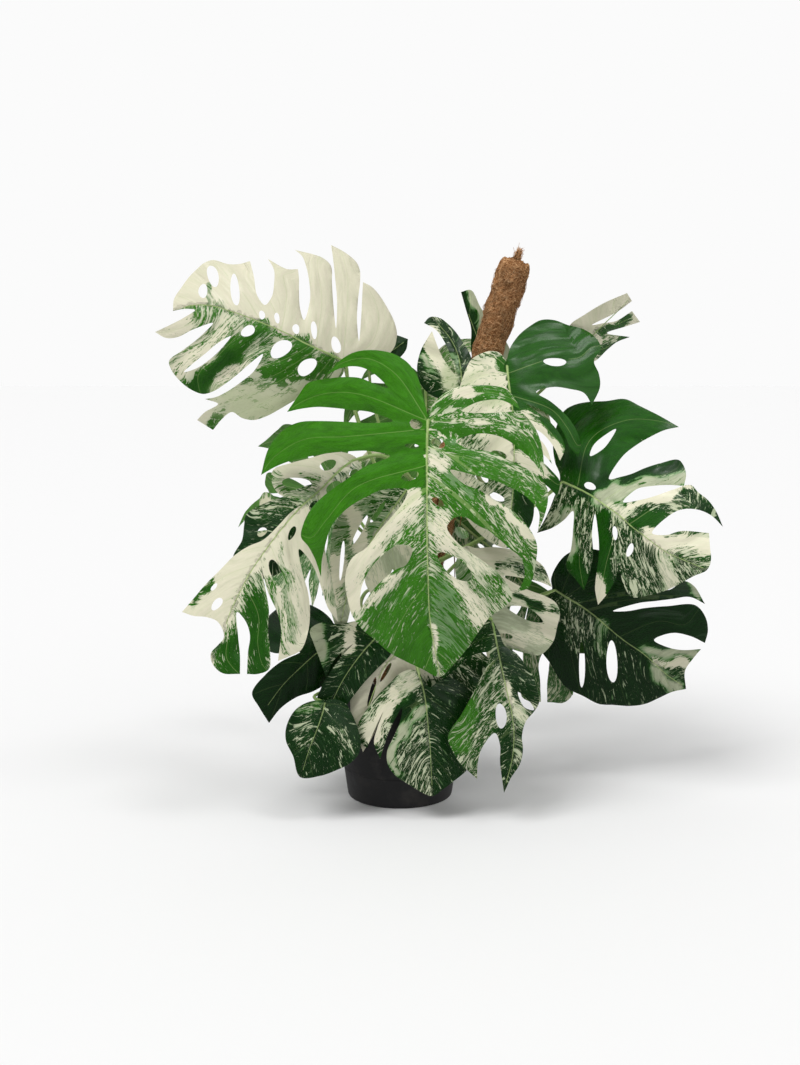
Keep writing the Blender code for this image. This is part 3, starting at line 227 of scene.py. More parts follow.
LEAVES = (
    LeafPlan(
        name="leaf_front",
        midrib=path("428,420 427,450 427,490 427,530 428,575 430,620 436,655 440,675"),
        edge=path("""
            428,415 425,404 422,393 418,378 410,365 400,357 388,352 370,350 355,352 342,359 327,374 345,367
            360,367 373,373 388,388 375,384 360,378 345,377 325,379 308,383 298,396 287,412 300,409 317,407
            335,408 352,410 370,412 393,421 372,423 350,422 320,421 300,422 286,428 274,439 267,452 261,475
            275,467 290,461 307,457 330,453 355,451 370,451 390,456 378,462 364,467 350,477 334,488 319,500
            309,512 303,525 301,537 308,546 315,559 321,577 322,560 325,546 331,527 340,515 352,505 366,497
            382,490 407,490 404,501 394,514 380,530 366,548 353,557 347,568 345,582 347,597 352,615 361,628
            375,640 390,653 405,661 422,669 440,677 451,667 462,655 471,643 480,630 490,617 503,608 512,599
            510,589 504,580 495,570 483,561 470,552 458,543 447,527 456,517 467,518 477,525 489,531 499,539
            509,548 519,556 524,566 524,579 517,592 528,588 533,577 536,562 537,545 531,531 521,519 509,508
            495,500 479,490 464,484 450,470 470,474 482,477 496,481 509,487 521,493 531,501 539,512 538,532
            545,514 548,500 547,488 541,479 531,471 519,465 506,459 494,453 480,450 466,448 456,441 475,434
            489,434 501,437 512,443 522,451 532,460 544,477 543,453 538,434 530,421 520,412 505,412 488,413
            462,411 475,403 488,400 501,400 520,409 514,397 506,389 495,386 478,385 460,386 447,391 437,400
            430,409
        """),
        holes=(
            Oval(416, 424, 13, 10, 20), Oval(412, 446, 15, 5, 8), Oval(410, 476, 18, 9, -15),
            Oval(438, 443, 15, 9, 20), Oval(438, 502, 14, 7, 35), Oval(455, 567, 42, 17, 38),
            Slot(path("""
                412,548 398,545 384,554 374,564 366,576 361,590 361,607 366,600 373,590 386,577 397,569
                406,565
            """)),
        ),
        drape=Drape(base=0.345, tip=0.3, arch=0.055, left=-0.045, right=-0.03, cup=-0.045),
        petiole=((425, 575, 0.15), (424, 500, 0.27), (427, 440, 0.325)),
        leaves_stem=0.46,
    ),
    LeafPlan(
        name="leaf_upper_left",
        midrib=path("""
            345,362 335,357 320,350 305,343 290,335 275,328 260,322 245,316 230,311 213,306 195,305 177,309
        """),
        edge=path("""
            348,360 362,367 378,366 391,352 396,343 397,333 394,321 388,309 380,296 372,287 363,282 362,300
            361,320 359,341 357,320 358,300 360,283 360,271 357,263 350,256 341,250 331,245 333,258 335,277
            337,300 336,328 333,300 332,283 331,266 323,258 312,254 295,250 302,256 306,266 309,280 310,300
            304,320 300,308 299,292 299,279 298,269 287,269 268,259 274,270 274,284 272,296 265,305 257,295
            254,277 250,261 239,264 228,264 213,260 204,263 197,269 189,277 181,288 174,299 173,311 184,309
            195,310 185,317 174,323 155,332 166,338 178,337 192,330 213,323 205,332 195,341 183,350 169,361
            172,371 180,381 190,389 203,394 214,391 225,384 238,374 247,366 263,354 254,371 241,382 228,391
            216,397 205,399 218,404 205,412 197,420 213,430 223,418 232,412 242,418 254,420 267,416 280,409
            298,399 318,394 333,385 343,374
        """),
        holes=(
            Oval(203, 291, 14, 9, 95), Oval(213, 276, 22, 11, 75), Oval(235, 290, 32, 9, 85),
            Oval(262, 315, 9, 6, 80), Oval(277, 318, 11, 5, 80), Oval(296, 329, 10, 7, 80),
            Oval(314, 330, 18, 6, 85), Oval(336, 345, 17, 9, 75), Oval(248, 331, 15, 10, -30),
            Oval(281, 349, 24, 15, -35), Oval(307, 367, 22, 14, -40),
            Slot(path("231,336 218,343 206,353 196,361 184,372 197,368 209,360 221,349")),
        ),
        drape=Drape(base=0.15, tip=0.285, arch=0.03, left=-0.06, right=0.015, cup=-0.05),
        petiole=((385, 480, 0.085), (352, 400, 0.12)),
        leaves_stem=0.6,
    ),
    LeafPlan(
        name="leaf_lower_left",
        midrib=path("352,461 340,470 320,490 300,508 280,531 262,555 250,573 240,592 232,608 226,624"),
        edge=path("""
            354,456 341,452 328,453 310,458 291,463 273,470 272,483 279,494 289,498 301,503 289,514 276,528
            263,540 249,546 235,555 220,570 205,585 194,598 182,612 194,616 206,617 218,622 224,637 218,645
            211,653 212,663 222,673 240,674 240,655 238,635 237,612 246,622 250,636 248,652 247,674 258,674
            269,669 270,650 268,630 269,610 266,592 261,566 268,592 277,612 281,630 278,661 290,656 301,650
            308,632 310,612 308,592 303,575 299,549 308,558 316,572 322,590 328,608 338,622 335,600 332,580
            327,560 325,545 328,529 335,513 346,502 358,491 364,478 360,463
        """),
        holes=(
            Oval(297, 484, 30, 13, 5), Oval(328, 465, 17, 10, -20), Oval(354, 473, 10, 7, -30),
            Oval(334, 488, 17, 12, -40), Oval(313, 505, 11, 5, -50), Oval(292, 533, 15, 6, -65),
            Oval(277, 574, 32, 11, 65), Oval(214, 587, 9, 4, -50), Oval(217, 604, 15, 8, -50),
        ),
        drape=Drape(base=0.15, tip=0.29, arch=0.03, left=-0.03, right=0.015, cup=-0.05),
        petiole=((412, 482, 0.085), (382, 456, 0.125)),
        leaves_stem=0.52,
    ),
    LeafPlan(
        name="leaf_behind_left",
        midrib=path("322,492 300,512 278,532 258,553 240,570"),
        edge=path("""
            318,484 300,488 282,497 268,502 255,508 246,515 244,526 242,540 233,557 236,577 252,580 268,578
            285,570 302,555 316,540 328,522 332,505 326,494
        """),
        holes=(Oval(262, 532, 11, 8, -40),),
        drape=Drape(base=0.075, tip=0.12, arch=0.02, left=-0.05, right=0.01, cup=-0.03),
        petiole=((390, 560, 0.065), (350, 520, 0.062)),
        leaves_stem=0.42,
    ),
    LeafPlan(
        name="leaf_upper_right",
        midrib=path("507,366 509,385 512,405 514,430 514,460 513,490 510,520 508,540"),
        edge=path("""
            506,360 510,348 519,335 530,326 541,320 554,320 568,325 583,329 595,337 601,348 594,361 599,374
            600,387 592,405 584,393 570,389 553,387 536,392 550,401 562,411 571,421 578,434 581,445 578,457
            570,447 564,434 555,421 543,411 526,404 540,414 552,424 561,436 565,448 560,461 555,449 547,438
            537,430 524,427 537,437 546,447 552,464 545,456 535,450 524,450 540,460 551,470 560,482 557,496
            547,486 535,478 522,476 531,490 534,505 532,522 522,538 508,548 492,543 476,530 461,510 451,487
            446,462 446,437 451,412 457,396 463,377 471,360 480,354 491,351 500,353
        """),
        holes=(
            Oval(555, 362, 23, 8, 3), Oval(499, 455, 16, 8, 20), Oval(482, 478, 14, 8, 25),
            Oval(497, 497, 16, 7, 25), Oval(486, 420, 14, 7, 10),
        ),
        drape=Drape(base=0.105, tip=0.15, arch=0.035, left=-0.02, right=-0.008, cup=-0.03),
        petiole=((478, 410, 0.078), (496, 385, 0.088)),
        leaves_stem=0.72,
    ),
    LeafPlan(
        name="leaf_right",
        midrib=path("""
            563,482 577,488 592,496 606,506 619,515 631,526 643,535 656,545 668,553 686,561 703,568
        """),
        edge=path("""
            560,477 555,462 553,445 556,428 564,411 574,405 587,402 606,401 625,399 640,406 660,416 679,427
            665,430 650,437 635,446 622,457 609,479 620,477 631,474 645,468 661,463 679,460 686,473 684,486
            669,485 652,486 637,489 623,502 640,500 655,496 672,490 691,485 698,492 708,500 716,511 723,527
            712,516 699,510 685,509 673,513 652,533 666,535 681,531 709,533 710,547 711,560 707,570 694,576
            681,583 667,590 650,595 632,597 624,586 619,570 615,581 607,594 598,605 595,588 597,570 599,550
            598,532 595,514 592,532 593,553 589,575 584,590 577,581 566,567 571,549 573,530 573,511 564,520
            552,528 537,533 546,517 553,500
        """),
        holes=(
            Slot(path("616,429 601,438 593,446 590,456 603,449 611,439")),
            Oval(590, 486, 12, 7, 20), Oval(615, 533, 14, 5, 85), Oval(630, 550, 14, 6, -70),
        ),
        drape=Drape(base=0.085, tip=0.18, arch=0.04, left=-0.01, right=-0.03, cup=-0.035),
        petiole=((470, 545, 0.075), (525, 512, 0.07)),
        leaves_stem=0.5,
    ),
    LeafPlan(
        name="leaf_lower_right",
        midrib=path("555,590 566,597 581,606 596,617 611,630 626,642 641,652 653,662 667,675 682,685"),
        edge=path("""
            552,590 551,579 557,565 567,554 582,549 602,551 622,562 645,580 668,590 684,581 694,586 705,604
            690,597 672,599 656,601 639,603 613,611 628,611 645,608 668,606 695,605 705,616 708,630 705,643
            690,636 672,633 654,640 667,647 682,650 701,649 692,660 685,671 686,689 672,692 659,698 645,704
            630,706 614,705 599,704 583,696 567,688 558,677 550,663 541,650 539,632 541,614 546,600
        """),
        holes=(Oval(582, 665, 46, 6, 90), Oval(612, 662, 42, 11, 88)),
        drape=Drape(base=0.01, tip=-0.03, arch=0.03, left=-0.03, right=0.005, cup=-0.03),
        petiole=((470, 612, 0.05), (520, 602, 0.01)),
        leaves_stem=0.36,
    ),
    LeafPlan(
        name="leaf_mid_right",
        midrib=path("468,552 474,575 481,600 490,625 502,643 522,651"),
        edge=path("""
            465,546 476,548 492,547 514,550 530,557 543,566 552,587 540,582 523,578 504,576 516,584 531,591
            545,596 556,603 560,613 557,627 553,642 540,655 525,653 509,648 496,642 484,632 474,618 464,600
            457,582 456,562
        """),
        holes=(
            Slot(path("507,607 520,606 532,610 543,622 533,622 519,616")),
            Oval(506, 636, 14, 5, 10),
        ),
        drape=Drape(base=0.11, tip=0.125, arch=0.015, left=-0.01, right=-0.01, cup=-0.01),
        petiole=((450, 570, 0.078),),
        leaves_stem=0.43,
    ),
    LeafPlan(
        name="leaf_bottom_right",
        midrib=path("492,620 496,640 500,660 504,678 508,696 512,715 514,735 512,760 506,783"),
        edge=path("""
            490,616 481,623 470,635 461,648 452,661 441,680 455,670 469,657 489,653 485,669 478,683 470,699
            461,715 448,736 452,750 460,763 477,779 478,762 482,748 495,733 500,745 500,762 504,793 511,778
            520,764 523,750 522,736 526,721 533,713 539,703 537,689 532,674 525,664 516,653 505,646 499,632
        """),
        holes=(
            Oval(501, 716, 25, 11, 85),
            Slot(path("518,692 530,702 534,710 524,707")),
        ),
        drape=Drape(base=0.195, tip=0.235, arch=0.03, left=-0.02, right=-0.03, cup=-0.02),
        petiole=((450, 625, 0.13), (478, 612, 0.18)),
        leaves_stem=0.34,
    ),
    LeafPlan(
        name="leaf_bottom_centre",
        midrib=path("419,675 423,688 426,705 428,725 430,745 431,765 432,785"),
        edge=path("""
            417,671 408,670 399,674 389,684 379,694 370,705 363,715 357,727 360,742 367,748 373,733 383,712
            377,729 374,743 380,759 384,746 390,729 402,708 400,722 393,738 387,752 388,765 396,776 408,784
            432,796 442,790 454,781 467,770 476,756 481,738 480,718 472,693 462,684 452,678 440,680 430,687
            424,680
        """),
        holes=(),
        drape=Drape(base=0.188, tip=0.205, arch=0.015, left=-0.008, right=-0.012, cup=-0.01),
        petiole=((405, 612, 0.115), (412, 640, 0.178)),
        leaves_stem=0.3,
    ),
    LeafPlan(
        name="leaf_bottom_left",
        midrib=path("325,703 322,715 316,732 309,750 303,770"),
        edge=path("""
            325,700 312,701 300,706 292,714 286,728 286,741 293,756 300,777 320,776 337,770 349,764 358,755
            361,744 358,729 352,714 345,703 334,699
        """),
        holes=(),
        drape=Drape(base=0.2, tip=0.225, arch=0.015, left=-0.015, right=0.006, cup=-0.01),
        petiole=((372, 640, 0.085), (348, 664, 0.122), (328, 688, 0.15), (314, 697, 0.178)),
        leaves_stem=0.32,
    ),
    LeafPlan(
        name="leaf_low_left_rear",
        midrib=path("335,640 318,652 300,668 283,685 268,705"),
        edge=path("""
            338,634 330,618 313,606 292,602 274,611 262,626 260,645 274,653 300,652 282,661 266,674 252,693
            259,707 269,723 281,708 297,697 314,691 330,680 341,662
        """),
        holes=(),
        drape=Drape(base=0.105, tip=0.11, arch=0.02, left=-0.025, right=0.01, cup=-0.03),
        petiole=((385, 625, 0.07), (355, 630, 0.09)),
        leaves_stem=0.35,
    ),
    LeafPlan(
        name="leaf_low_left_front",
        midrib=path("380,634 368,646 355,662 343,680 333,700 326,718"),
        edge=path("""
            384,626 372,621 356,621 340,624 320,623 310,630 314,644 320,660 326,677 334,660 353,644 341,657
            331,671 321,688 316,705 324,722 338,715 352,698 363,684 377,669 391,654 394,640
        """),
        holes=(),
        drape=Drape(base=0.16, tip=0.18, arch=0.01, left=-0.006, right=-0.004, cup=-0.008),
        petiole=((388, 600, 0.115), (382, 618, 0.158)),
        leaves_stem=0.38,
    ),
    LeafPlan(
        name="leaf_low_centre_rear",
        midrib=path("425,640 405,648 388,662 376,685 366,715 362,740"),
        edge=path("""
            428,634 408,630 385,628 365,626 348,630 343,640 349,655 352,675 350,700 353,725 363,752 373,736
            382,716 394,702 410,698 428,703 445,708 462,702 478,692 490,680 492,664 480,651 460,643 442,636
        """),
        holes=(Oval(372, 692, 30, 5, -75), Oval(386, 672, 22, 4, -60)),
        drape=Drape(base=0.15, tip=0.168, arch=0.006, left=0.0, right=-0.004, cup=-0.004),
        petiole=((440, 622, 0.105),),
        leaves_stem=0.4,
    ),
    LeafPlan(
        name="leaf_mid_left",
        midrib=path("408,488 392,510 375,535 360,562 348,592 341,622"),
        edge=path("""
            411,482 398,483 384,487 370,491 356,499 344,511 334,526 330,548 330,575 330,602 334,622 342,638
            348,620 352,600 355,580 362,566 366,585 376,602 386,585 394,568 398,582 406,592 413,572 417,548
            418,522 416,500
        """),
        holes=(
            Oval(360, 530, 34, 5, -62), Oval(378, 512, 26, 5, -55), Oval(342, 560, 40, 4, -85),
        ),
        drape=Drape(base=0.11, tip=0.15, arch=0.01, left=-0.01, right=-0.004, cup=-0.01),
        petiole=((428, 520, 0.085),),
        leaves_stem=0.55,
    ),
    LeafPlan(
        name="leaf_top",
        midrib=path("462,386 461,372 458,355 450,338 438,324"),
        edge=path("""
            461,393 450,399 440,399 428,393 420,383 417,368 421,350 427,339 432,331 437,345 443,358 455,374
            451,357 444,341 436,330 424,323 430,317 440,318 447,323 455,331 462,341 469,352 473,366 470,382
        """),
        holes=(),
        drape=Drape(base=0.01, tip=-0.06, arch=0.012, left=-0.03, right=-0.03, cup=0.0),
        petiole=((438, 425, 0.03),),
        leaves_stem=0.74,
    ),
    LeafPlan(
        name="leaf_top_rear",
        midrib=path("490,385 485,365 478,340 470,318 464,300"),
        edge=path("""
            492,390 482,384 475,370 471,350 471,328 466,310 461,292 471,290 481,308 492,322 504,338 512,356
            510,374 502,386
        """),
        holes=(),
        drape=Drape(base=-0.13, tip=-0.125, arch=0.01, left=-0.01, right=-0.01, cup=0.0),
        petiole=((420, 480, 0.0), (440, 430, -0.12), (475, 405, -0.14)),
        leaves_stem=0.66,
    ),
    LeafPlan(
        name="leaf_far_right",
        midrib=path("578,350 590,338 603,325 617,312 628,300"),
        edge=path("""
            574,352 567,338 570,325 584,315 604,303 627,293 632,301 617,312 592,325 604,323 616,321 632,311
            640,322 624,327 607,333 630,337 617,342 607,350 595,361 582,364
        """),
        holes=(),
        drape=Drape(base=-0.02, tip=0.06, arch=-0.01, left=-0.15, right=0.06, cup=0.0),
        petiole=((490, 425, 0.066), (530, 400, 0.035), (560, 372, -0.01)),
        leaves_stem=0.69,
    ),
    LeafPlan(
        name="leaf_small_rear",
        midrib=path("368,366 380,358 393,350 404,342"),
        edge=path("364,368 368,352 380,341 394,335 408,339 406,350 395,362 380,372"),
        holes=(),
        drape=Drape(base=0.07, tip=0.05, arch=0.006, left=-0.01, right=-0.01, cup=0.0),
        petiole=((400, 470, 0.06), (375, 410, 0.07)),
        leaves_stem=0.63,
    ),
)


def rear(source: str, name: str, **changes: object) -> LeafPlan:
    """Return a leaf for the far side: another leaf's outline, turned about the pot's axis.

    Args:
        source: the name of the leaf whose outline it takes.
        name: its own name.
        changes: what is different about it.

    Returns:
        The new leaf's plan.
    """
    leaf = next(leaf for leaf in LEAVES if leaf.name == source)
    return replace(leaf, name=name, **changes)


REAR_LEAVES = (
    rear("leaf_right", "leaf_rear_left", turn=150.0, shift=(-60.0, 30.0), leaves_stem=0.57,
         drape=Drape(base=0.110, tip=0.150, arch=0.030, left=-0.030, right=0.010, cup=-0.040),
         petiole=((520, 530, 0.100),), around=((388, 560, 0.020), (370, 545, -0.060))),
    rear("leaf_front", "leaf_rear_middle", turn=180.0, shift=(-60.0, -30.0), leaves_stem=0.62, grow=0.86,
         drape=Drape(base=0.290, tip=0.250, arch=0.040, left=-0.040, right=-0.040, cup=-0.040),
         petiole=((375, 480, 0.200), (369, 410, 0.272)), around=((492, 490, 0.000), (480, 480, -0.090))),
    rear("leaf_lower_left", "leaf_rear_right", turn=160.0, shift=(20.0, 60.0), leaves_stem=0.45,
         drape=Drape(base=0.120, tip=0.180, arch=0.030, left=-0.010, right=0.020, cup=-0.040),
         petiole=((375, 540, 0.100),), around=((475, 590, 0.010), (480, 575, -0.050))),
    rear("leaf_bottom_centre", "leaf_rear_low", turn=180.0, shift=(0.0, -15.0), leaves_stem=0.33, grow=1.15,
         drape=Drape(base=0.200, tip=0.205, arch=0.015, left=-0.010, right=-0.010, cup=-0.010),
         petiole=((425, 637, 0.155), (420, 656, 0.188)),
         around=((372, 625, 0.020), (361, 606, -0.035), (366, 592, -0.095))),
)


LOOKS = {
    "leaf_front": LeafLook.read("GREEN MARBLED", """
        CREAM 9 414,503 354,565
        CREAM 9 352,568 352,612
        MARBLED 13 418,522 396,542
        CREAM 4 404,570 367,606
        MARBLED 8 421,545 421,570
        GREEN_STREAKED 14 410,580 372,622
        MARBLED 4 356,618 378,640
        GREEN_STREAKED 12 422,600 395,640
        GREEN_FLECKED 13 395,655 432,668
        CREAM 3 452,398 470,391
        GREEN_STREAKED 5 484,389 514,402
        GREEN_FLECKED 5 440,405 505,399
        MARBLED 6 440,418 520,422
        GREEN_FLECKED 7 445,428 538,452
        CREAM 2.4 455,423 487,421
        CREAM_FLECKED 3 436,433 455,437
        GREEN_STREAKED 6 450,443 470,445
        CREAM_FLECKED 3.6 432,458 446,464
        GREEN_STREAKED 9 465,458 535,500
        GREEN_SAGE 4 446,480 472,492
        GREEN_FLECKED 6 455,472 500,492
        CREAM 1.9 488,496 534,538
        GREEN_FLECKED 9 455,504 528,580
        CREAM_FLECKED 8 436,520 450,545
        CREAM_SAGE 6 462,553 490,572
        MARBLED 9 484,580 506,600
        GREEN_SAGE 12 440,590 453,645
        GREEN_FLECKED 7 448,655 466,640
        CREAM_FLECKED 6 454,578 482,616
        CREAM 3.2 433,625 438,672
    """),
    "leaf_upper_left": LeafLook.read("CREAM MARBLED", """
        SAGE_FLECKED 3 206,284 212,302
        CREAM 8 160,332 185,328
        MARBLED 7 192,326 222,313
        CREAM_FLECKED 8 225,325 180,368
        MARBLED 5 232,322 176,356
        DEEP 6.5 258,336 196,388
        GREEN_STREAKED 6 262,328 236,348
        CREAM_FLECKED 5 257,345 222,378
        SAGE_FLECKED 8 262,342 252,352
        GREEN_FLECKED 9 302,348 275,376
        GREEN_FLECKED 6 328,360 300,382
        MARBLED 5 328,378 262,390
        PALE 12 330,394 222,404
        PALE 8 290,402 240,416
        CREAM 5 214,404 200,418
        GREEN_FLECKED 5 224,408 212,428
    """, 0.06),
    "leaf_lower_left": LeafLook.read("CREAM_FLECKED CREAM", """
        CREAM 8 345,457 290,466
        MARBLED 5 276,478 290,498
        MARBLED 4 305,473 318,482
        SAGE_FLECKED 6 290,497 312,497
        DEEP_MARBLED 7 345,478 358,470
        CREAM 14 280,530 235,590
        CREAM 10 235,600 225,630
        CREAM 6 215,600 190,612
        DEEP 4 210,586 192,610
        DARK_FLECKED 3 268,556 250,580
        DEEP 10 252,584 230,640
        DEEP 12 228,648 232,668
        DEEP 10 257,590 260,640
        DEEP 9 258,650 260,670
        MARBLED 4 268,578 284,650
        SAGE_FLECKED 3.6 280,548 294,640
        CREAM_SAGE 5 296,570 300,640
        CREAM_SAGE 5 332,520 330,590
        SAGE_FLECKED 5 333,540 333,600
    """, 0.11),
    "leaf_behind_left": LeafLook.read("DARK_FLECKED DARK_FLECKED", """
        DEEP_MARBLED 8 300,495 265,510
    """),
    "leaf_upper_right": LeafLook.read("CREAM_FLECKED DEEP", """
        CREAM_SAGE 9 485,366 478,390
        DEEP_MARBLED 4 470,358 500,352
        DEEP 3 499,364 503,372
        PALE 5 472,380 480,372
        PALE 6 470,392 495,398
        DEEP_MARBLED 8 470,430 480,480
        CREAM 6 500,430 500,445
        CREAM 5 524,415 560,455
        CREAM 5 520,432 548,458
        CREAM 5 520,455 545,475
        DEEP_MARBLED 9 500,480 508,530
        DARK_FLECKED 6 525,480 528,515
    """),
    "leaf_right": LeafLook.read("DARK_MARBLED DEEP_MARBLED", """
        DEEP 26 585,430 640,420
        DARK 9 570,460 600,470
        DEEP 8 575,475 612,462
        DARK 4.5 625,478 682,462
        SAGE 5 615,488 684,480
        DARK 6 588,488 606,482
        SAGE 6 600,499 630,487
        CREAM_SAGE 4.5 606,505 620,511
        CREAM 2.4 628,505 690,488
        DARK_MARBLED 3.6 636,512 696,497
        DEEP 6 640,522 660,518
        DARK_FLECKED 6 690,498 720,522
        DEEP_MARBLED 3 668,534 708,532
        CREAM 6 652,540 710,542
        SAGE 5 568,515 570,560
        DEEP 6 575,560 585,585
        CREAM 3.5 598,575 600,600
        DEEP 5 602,520 606,590
        CREAM_SAGE 5 664,556 672,588
    """),
    "leaf_lower_right": LeafLook.read("DARK_FLECKED DARK", """
        DARK_MARBLED 12 570,612 582,640
        DARK_FLECKED 14 590,650 640,690
        DARK 9 550,640 575,685
        SAGE_FLECKED 4 600,626 602,655
        SAGE 5 648,652 700,654
        CREAM 4 655,661 690,665
        DARK_MARBLED 4 665,668 686,678
        SAGE 6 655,668 678,688
        SAGE 3 690,583 700,597
    """, 0.2),
    "leaf_mid_right": LeafLook.read("SAGE_FLECKED CREAM_SAGE", """
        CREAM 6 470,552 500,553
        DARK_MARBLED 5 500,562 545,575
        CREAM 5 505,582 545,592
        DARK 3 520,596 552,612
        CREAM 4 545,600 552,636
        SAGE 8 495,612 520,625
        CREAM_SAGE 6 495,632 540,640
        SAGE 5 530,645 545,650
    """, 0.1),
    "leaf_bottom_right": LeafLook.read("DEEP_MARBLED DARK_MARBLED", """
        DARK_FLECKED 10 485,635 455,670
        DARK_FLECKED 8 505,655 530,690
        GREEN_STREAKED 8 470,700 458,745
        DEEP_MARBLED 6 498,690 480,740
        CREAM 2.6 507,682 512,700
        CREAM_SAGE 2.6 514,705 524,722
        DARK_FLECKED 7 506,735 506,785
    """, 0.1),
    "leaf_bottom_centre": LeafLook.read("DARK_MARBLED DARK_FLECKED", """
        CREAM_SAGE 6 412,678 395,700
        CREAM 5 394,692 370,738
        DEEP_MARBLED 4 385,690 362,728
        DARK 6 408,702 400,718
        SAGE 3.6 424,706 390,750
        SAGE 3.6 390,752 398,775
        DARK_MARBLED 9 418,730 410,770
        DARK_FLECKED 12 450,700 470,730
        DARK_FLECKED 10 445,750 460,765
    """, 0.1),
    "leaf_bottom_left": LeafLook.read("DARK_FLECKED DARK_FLECKED", """
        SAGE_FLECKED 3.5 316,702 296,712
        DARK_MARBLED 6 305,720 300,740
        DARK_MARBLED 5 335,730 348,745
        DARK_FLECKED 8 310,765 345,760
    """, 0.1),
    "leaf_low_left_rear": LeafLook.read("DARK DARK", "", 0.3),
    "leaf_low_left_front": LeafLook.read("DARK_FLECKED DARK_FLECKED", """
        SAGE 7 318,632 320,655
        DARK_MARBLED 7 345,632 335,655
        CREAM 3.6 352,630 346,652
    """, 0.1),
    "leaf_low_centre_rear": LeafLook.read("CREAM CREAM", """
        DARK_FLECKED 16 440,690 480,670
    """, 0.2),
    "leaf_mid_left": LeafLook.read("SAGE_FLECKED CREAM_SAGE", """
        DEEP_MARBLED 8 400,495 385,505
        CREAM 6 352,515 362,545
        CREAM 6 336,560 338,600
        SAGE 6 345,590 344,625
        SAGE 8 390,560 405,580
    """, 0.05),
    "leaf_top": LeafLook.read("DARK_MARBLED DARK_FLECKED", """
        CREAM 6 434,336 436,362
        SAGE 4 424,358 430,372
        PALE 5 445,368 452,385
        DARK_MARBLED 7 432,375 445,392
        DARK_FLECKED 8 445,330 465,365
        SAGE 2.5 452,352 458,372
    """),
    "leaf_top_rear": LeafLook.read("SAGE DARK_FLECKED", """
        DARK 4 466,292 474,340
        SAGE 5 476,300 490,330
    """),
    "leaf_far_right": LeafLook.read("CREAM CREAM", """
        CREAM 5 585,322 628,300
        DEEP 3.6 600,335 629,318
        CREAM 3 636,316 639,323
        DEEP 6 603,352 628,336
        DEEP 6 575,355 585,345
    """),
    "leaf_small_rear": LeafLook.read("DARK DARK", ""),
    "leaf_rear_left": LeafLook.read("DEEP_MARBLED GREEN_FLECKED", """
        CREAM 7 640,520 690,500
        CREAM 6 655,545 700,545
        SAGE 6 600,520 605,570
    """),
    "leaf_rear_middle": LeafLook.read("MARBLED GREEN_FLECKED", """
        CREAM 10 400,440 300,400
        GREEN 14 400,470 320,540
        SAGE 12 420,590 390,630
        CREAM 8 450,480 530,520
    """),
    "leaf_rear_right": LeafLook.read("GREEN_FLECKED DEEP_MARBLED", """
        CREAM 8 300,530 305,640
        SAGE 7 265,480 300,500
    """),
    "leaf_rear_low": LeafLook.read("DARK_FLECKED DARK_MARBLED", "", 0.15),
}


def linear(code: str) -> tuple[float, ...]:
    """Turn an sRGB hex colour into linear red, green, blue and alpha.

    Args:
        code: six hex digits after a hash.

    Returns:
        The linear colour with full alpha.
    """
    parts = [int(code[start:start + 2], 16) / 255.0 for start in (1, 3, 5)]
    return (*(part / 12.92 if part <= 0.04045 else ((part + 0.055) / 1.055) ** 2.4 for part in parts), 1.0)


def feed(node: bpy.types.Node, inputs: Inputs) -> None:
    """Link or set the inputs of a node.

    Args:
        node: the node.
        inputs: a socket to link from, or a plain value, by input name or number.
    """
    for name, value in inputs.items():
        if isinstance(value, Socket):
            node.id_data.links.new(value, node.inputs[name])
        else:
            node.inputs[name].default_value = value


def add_node(
    tree: Tree, kind: str, inputs: Inputs | None = None, out: int | str = 0, **settings: object
) -> Socket:
    """Add a node with its settings and links.

    Args:
        tree: the node tree of a material or world.
        kind: the node's type, without its first word.
        inputs: a socket to link from, or a plain value, by input name or number.
        out: the name or number of the output that is wanted.
        settings: the node's own settings by name.

    Returns:
        The wanted output.
    """
    node = tree.nodes.new(f"ShaderNode{kind}")
    for name, value in settings.items():
        setattr(node, name, value)
    feed(node, inputs or {})
    return node.outputs[out]


def sight_places(points: Array, forward: Array, turn: float = 0.0) -> Array:
    """Carry places on the picture plane along their sight lines.

    Args:
        points: places across and down, one a row.
        forward: how far in front of the pot's axis each one comes to lie.
        turn: degrees by which the result is turned about the pot's axis.

    Returns:
        The places in the room, one a row.
    """
    ahead = np.array((0.0, math.cos(VIEW_TILT), -math.sin(VIEW_TILT)))
    above = np.array((0.0, math.sin(VIEW_TILT), math.cos(VIEW_TILT)))
    eye = np.array((0.0, 0.0, (PLANE_FLOOR - PLANE_CENTRE[1]) * PLANE_UNIT)) - ahead * VIEW_DISTANCE
    offset = (points - PLANE_CENTRE) * PLANE_UNIT
    lines = ahead * VIEW_DISTANCE + np.outer(offset[:, 0], (1.0, 0.0, 0.0)) - np.outer(offset[:, 1], above)
    places = eye + lines * ((-forward - eye[1]) / lines[:, 1])[:, None]
    return places @ np.array(Matrix.Rotation(math.radians(turn), 3, "Z")).T


def unit(vectors: Array) -> Array:
    """Return vectors of length one, in the same directions."""
    return vectors / np.maximum(np.linalg.norm(vectors, axis=-1, keepdims=True), 1e-12)


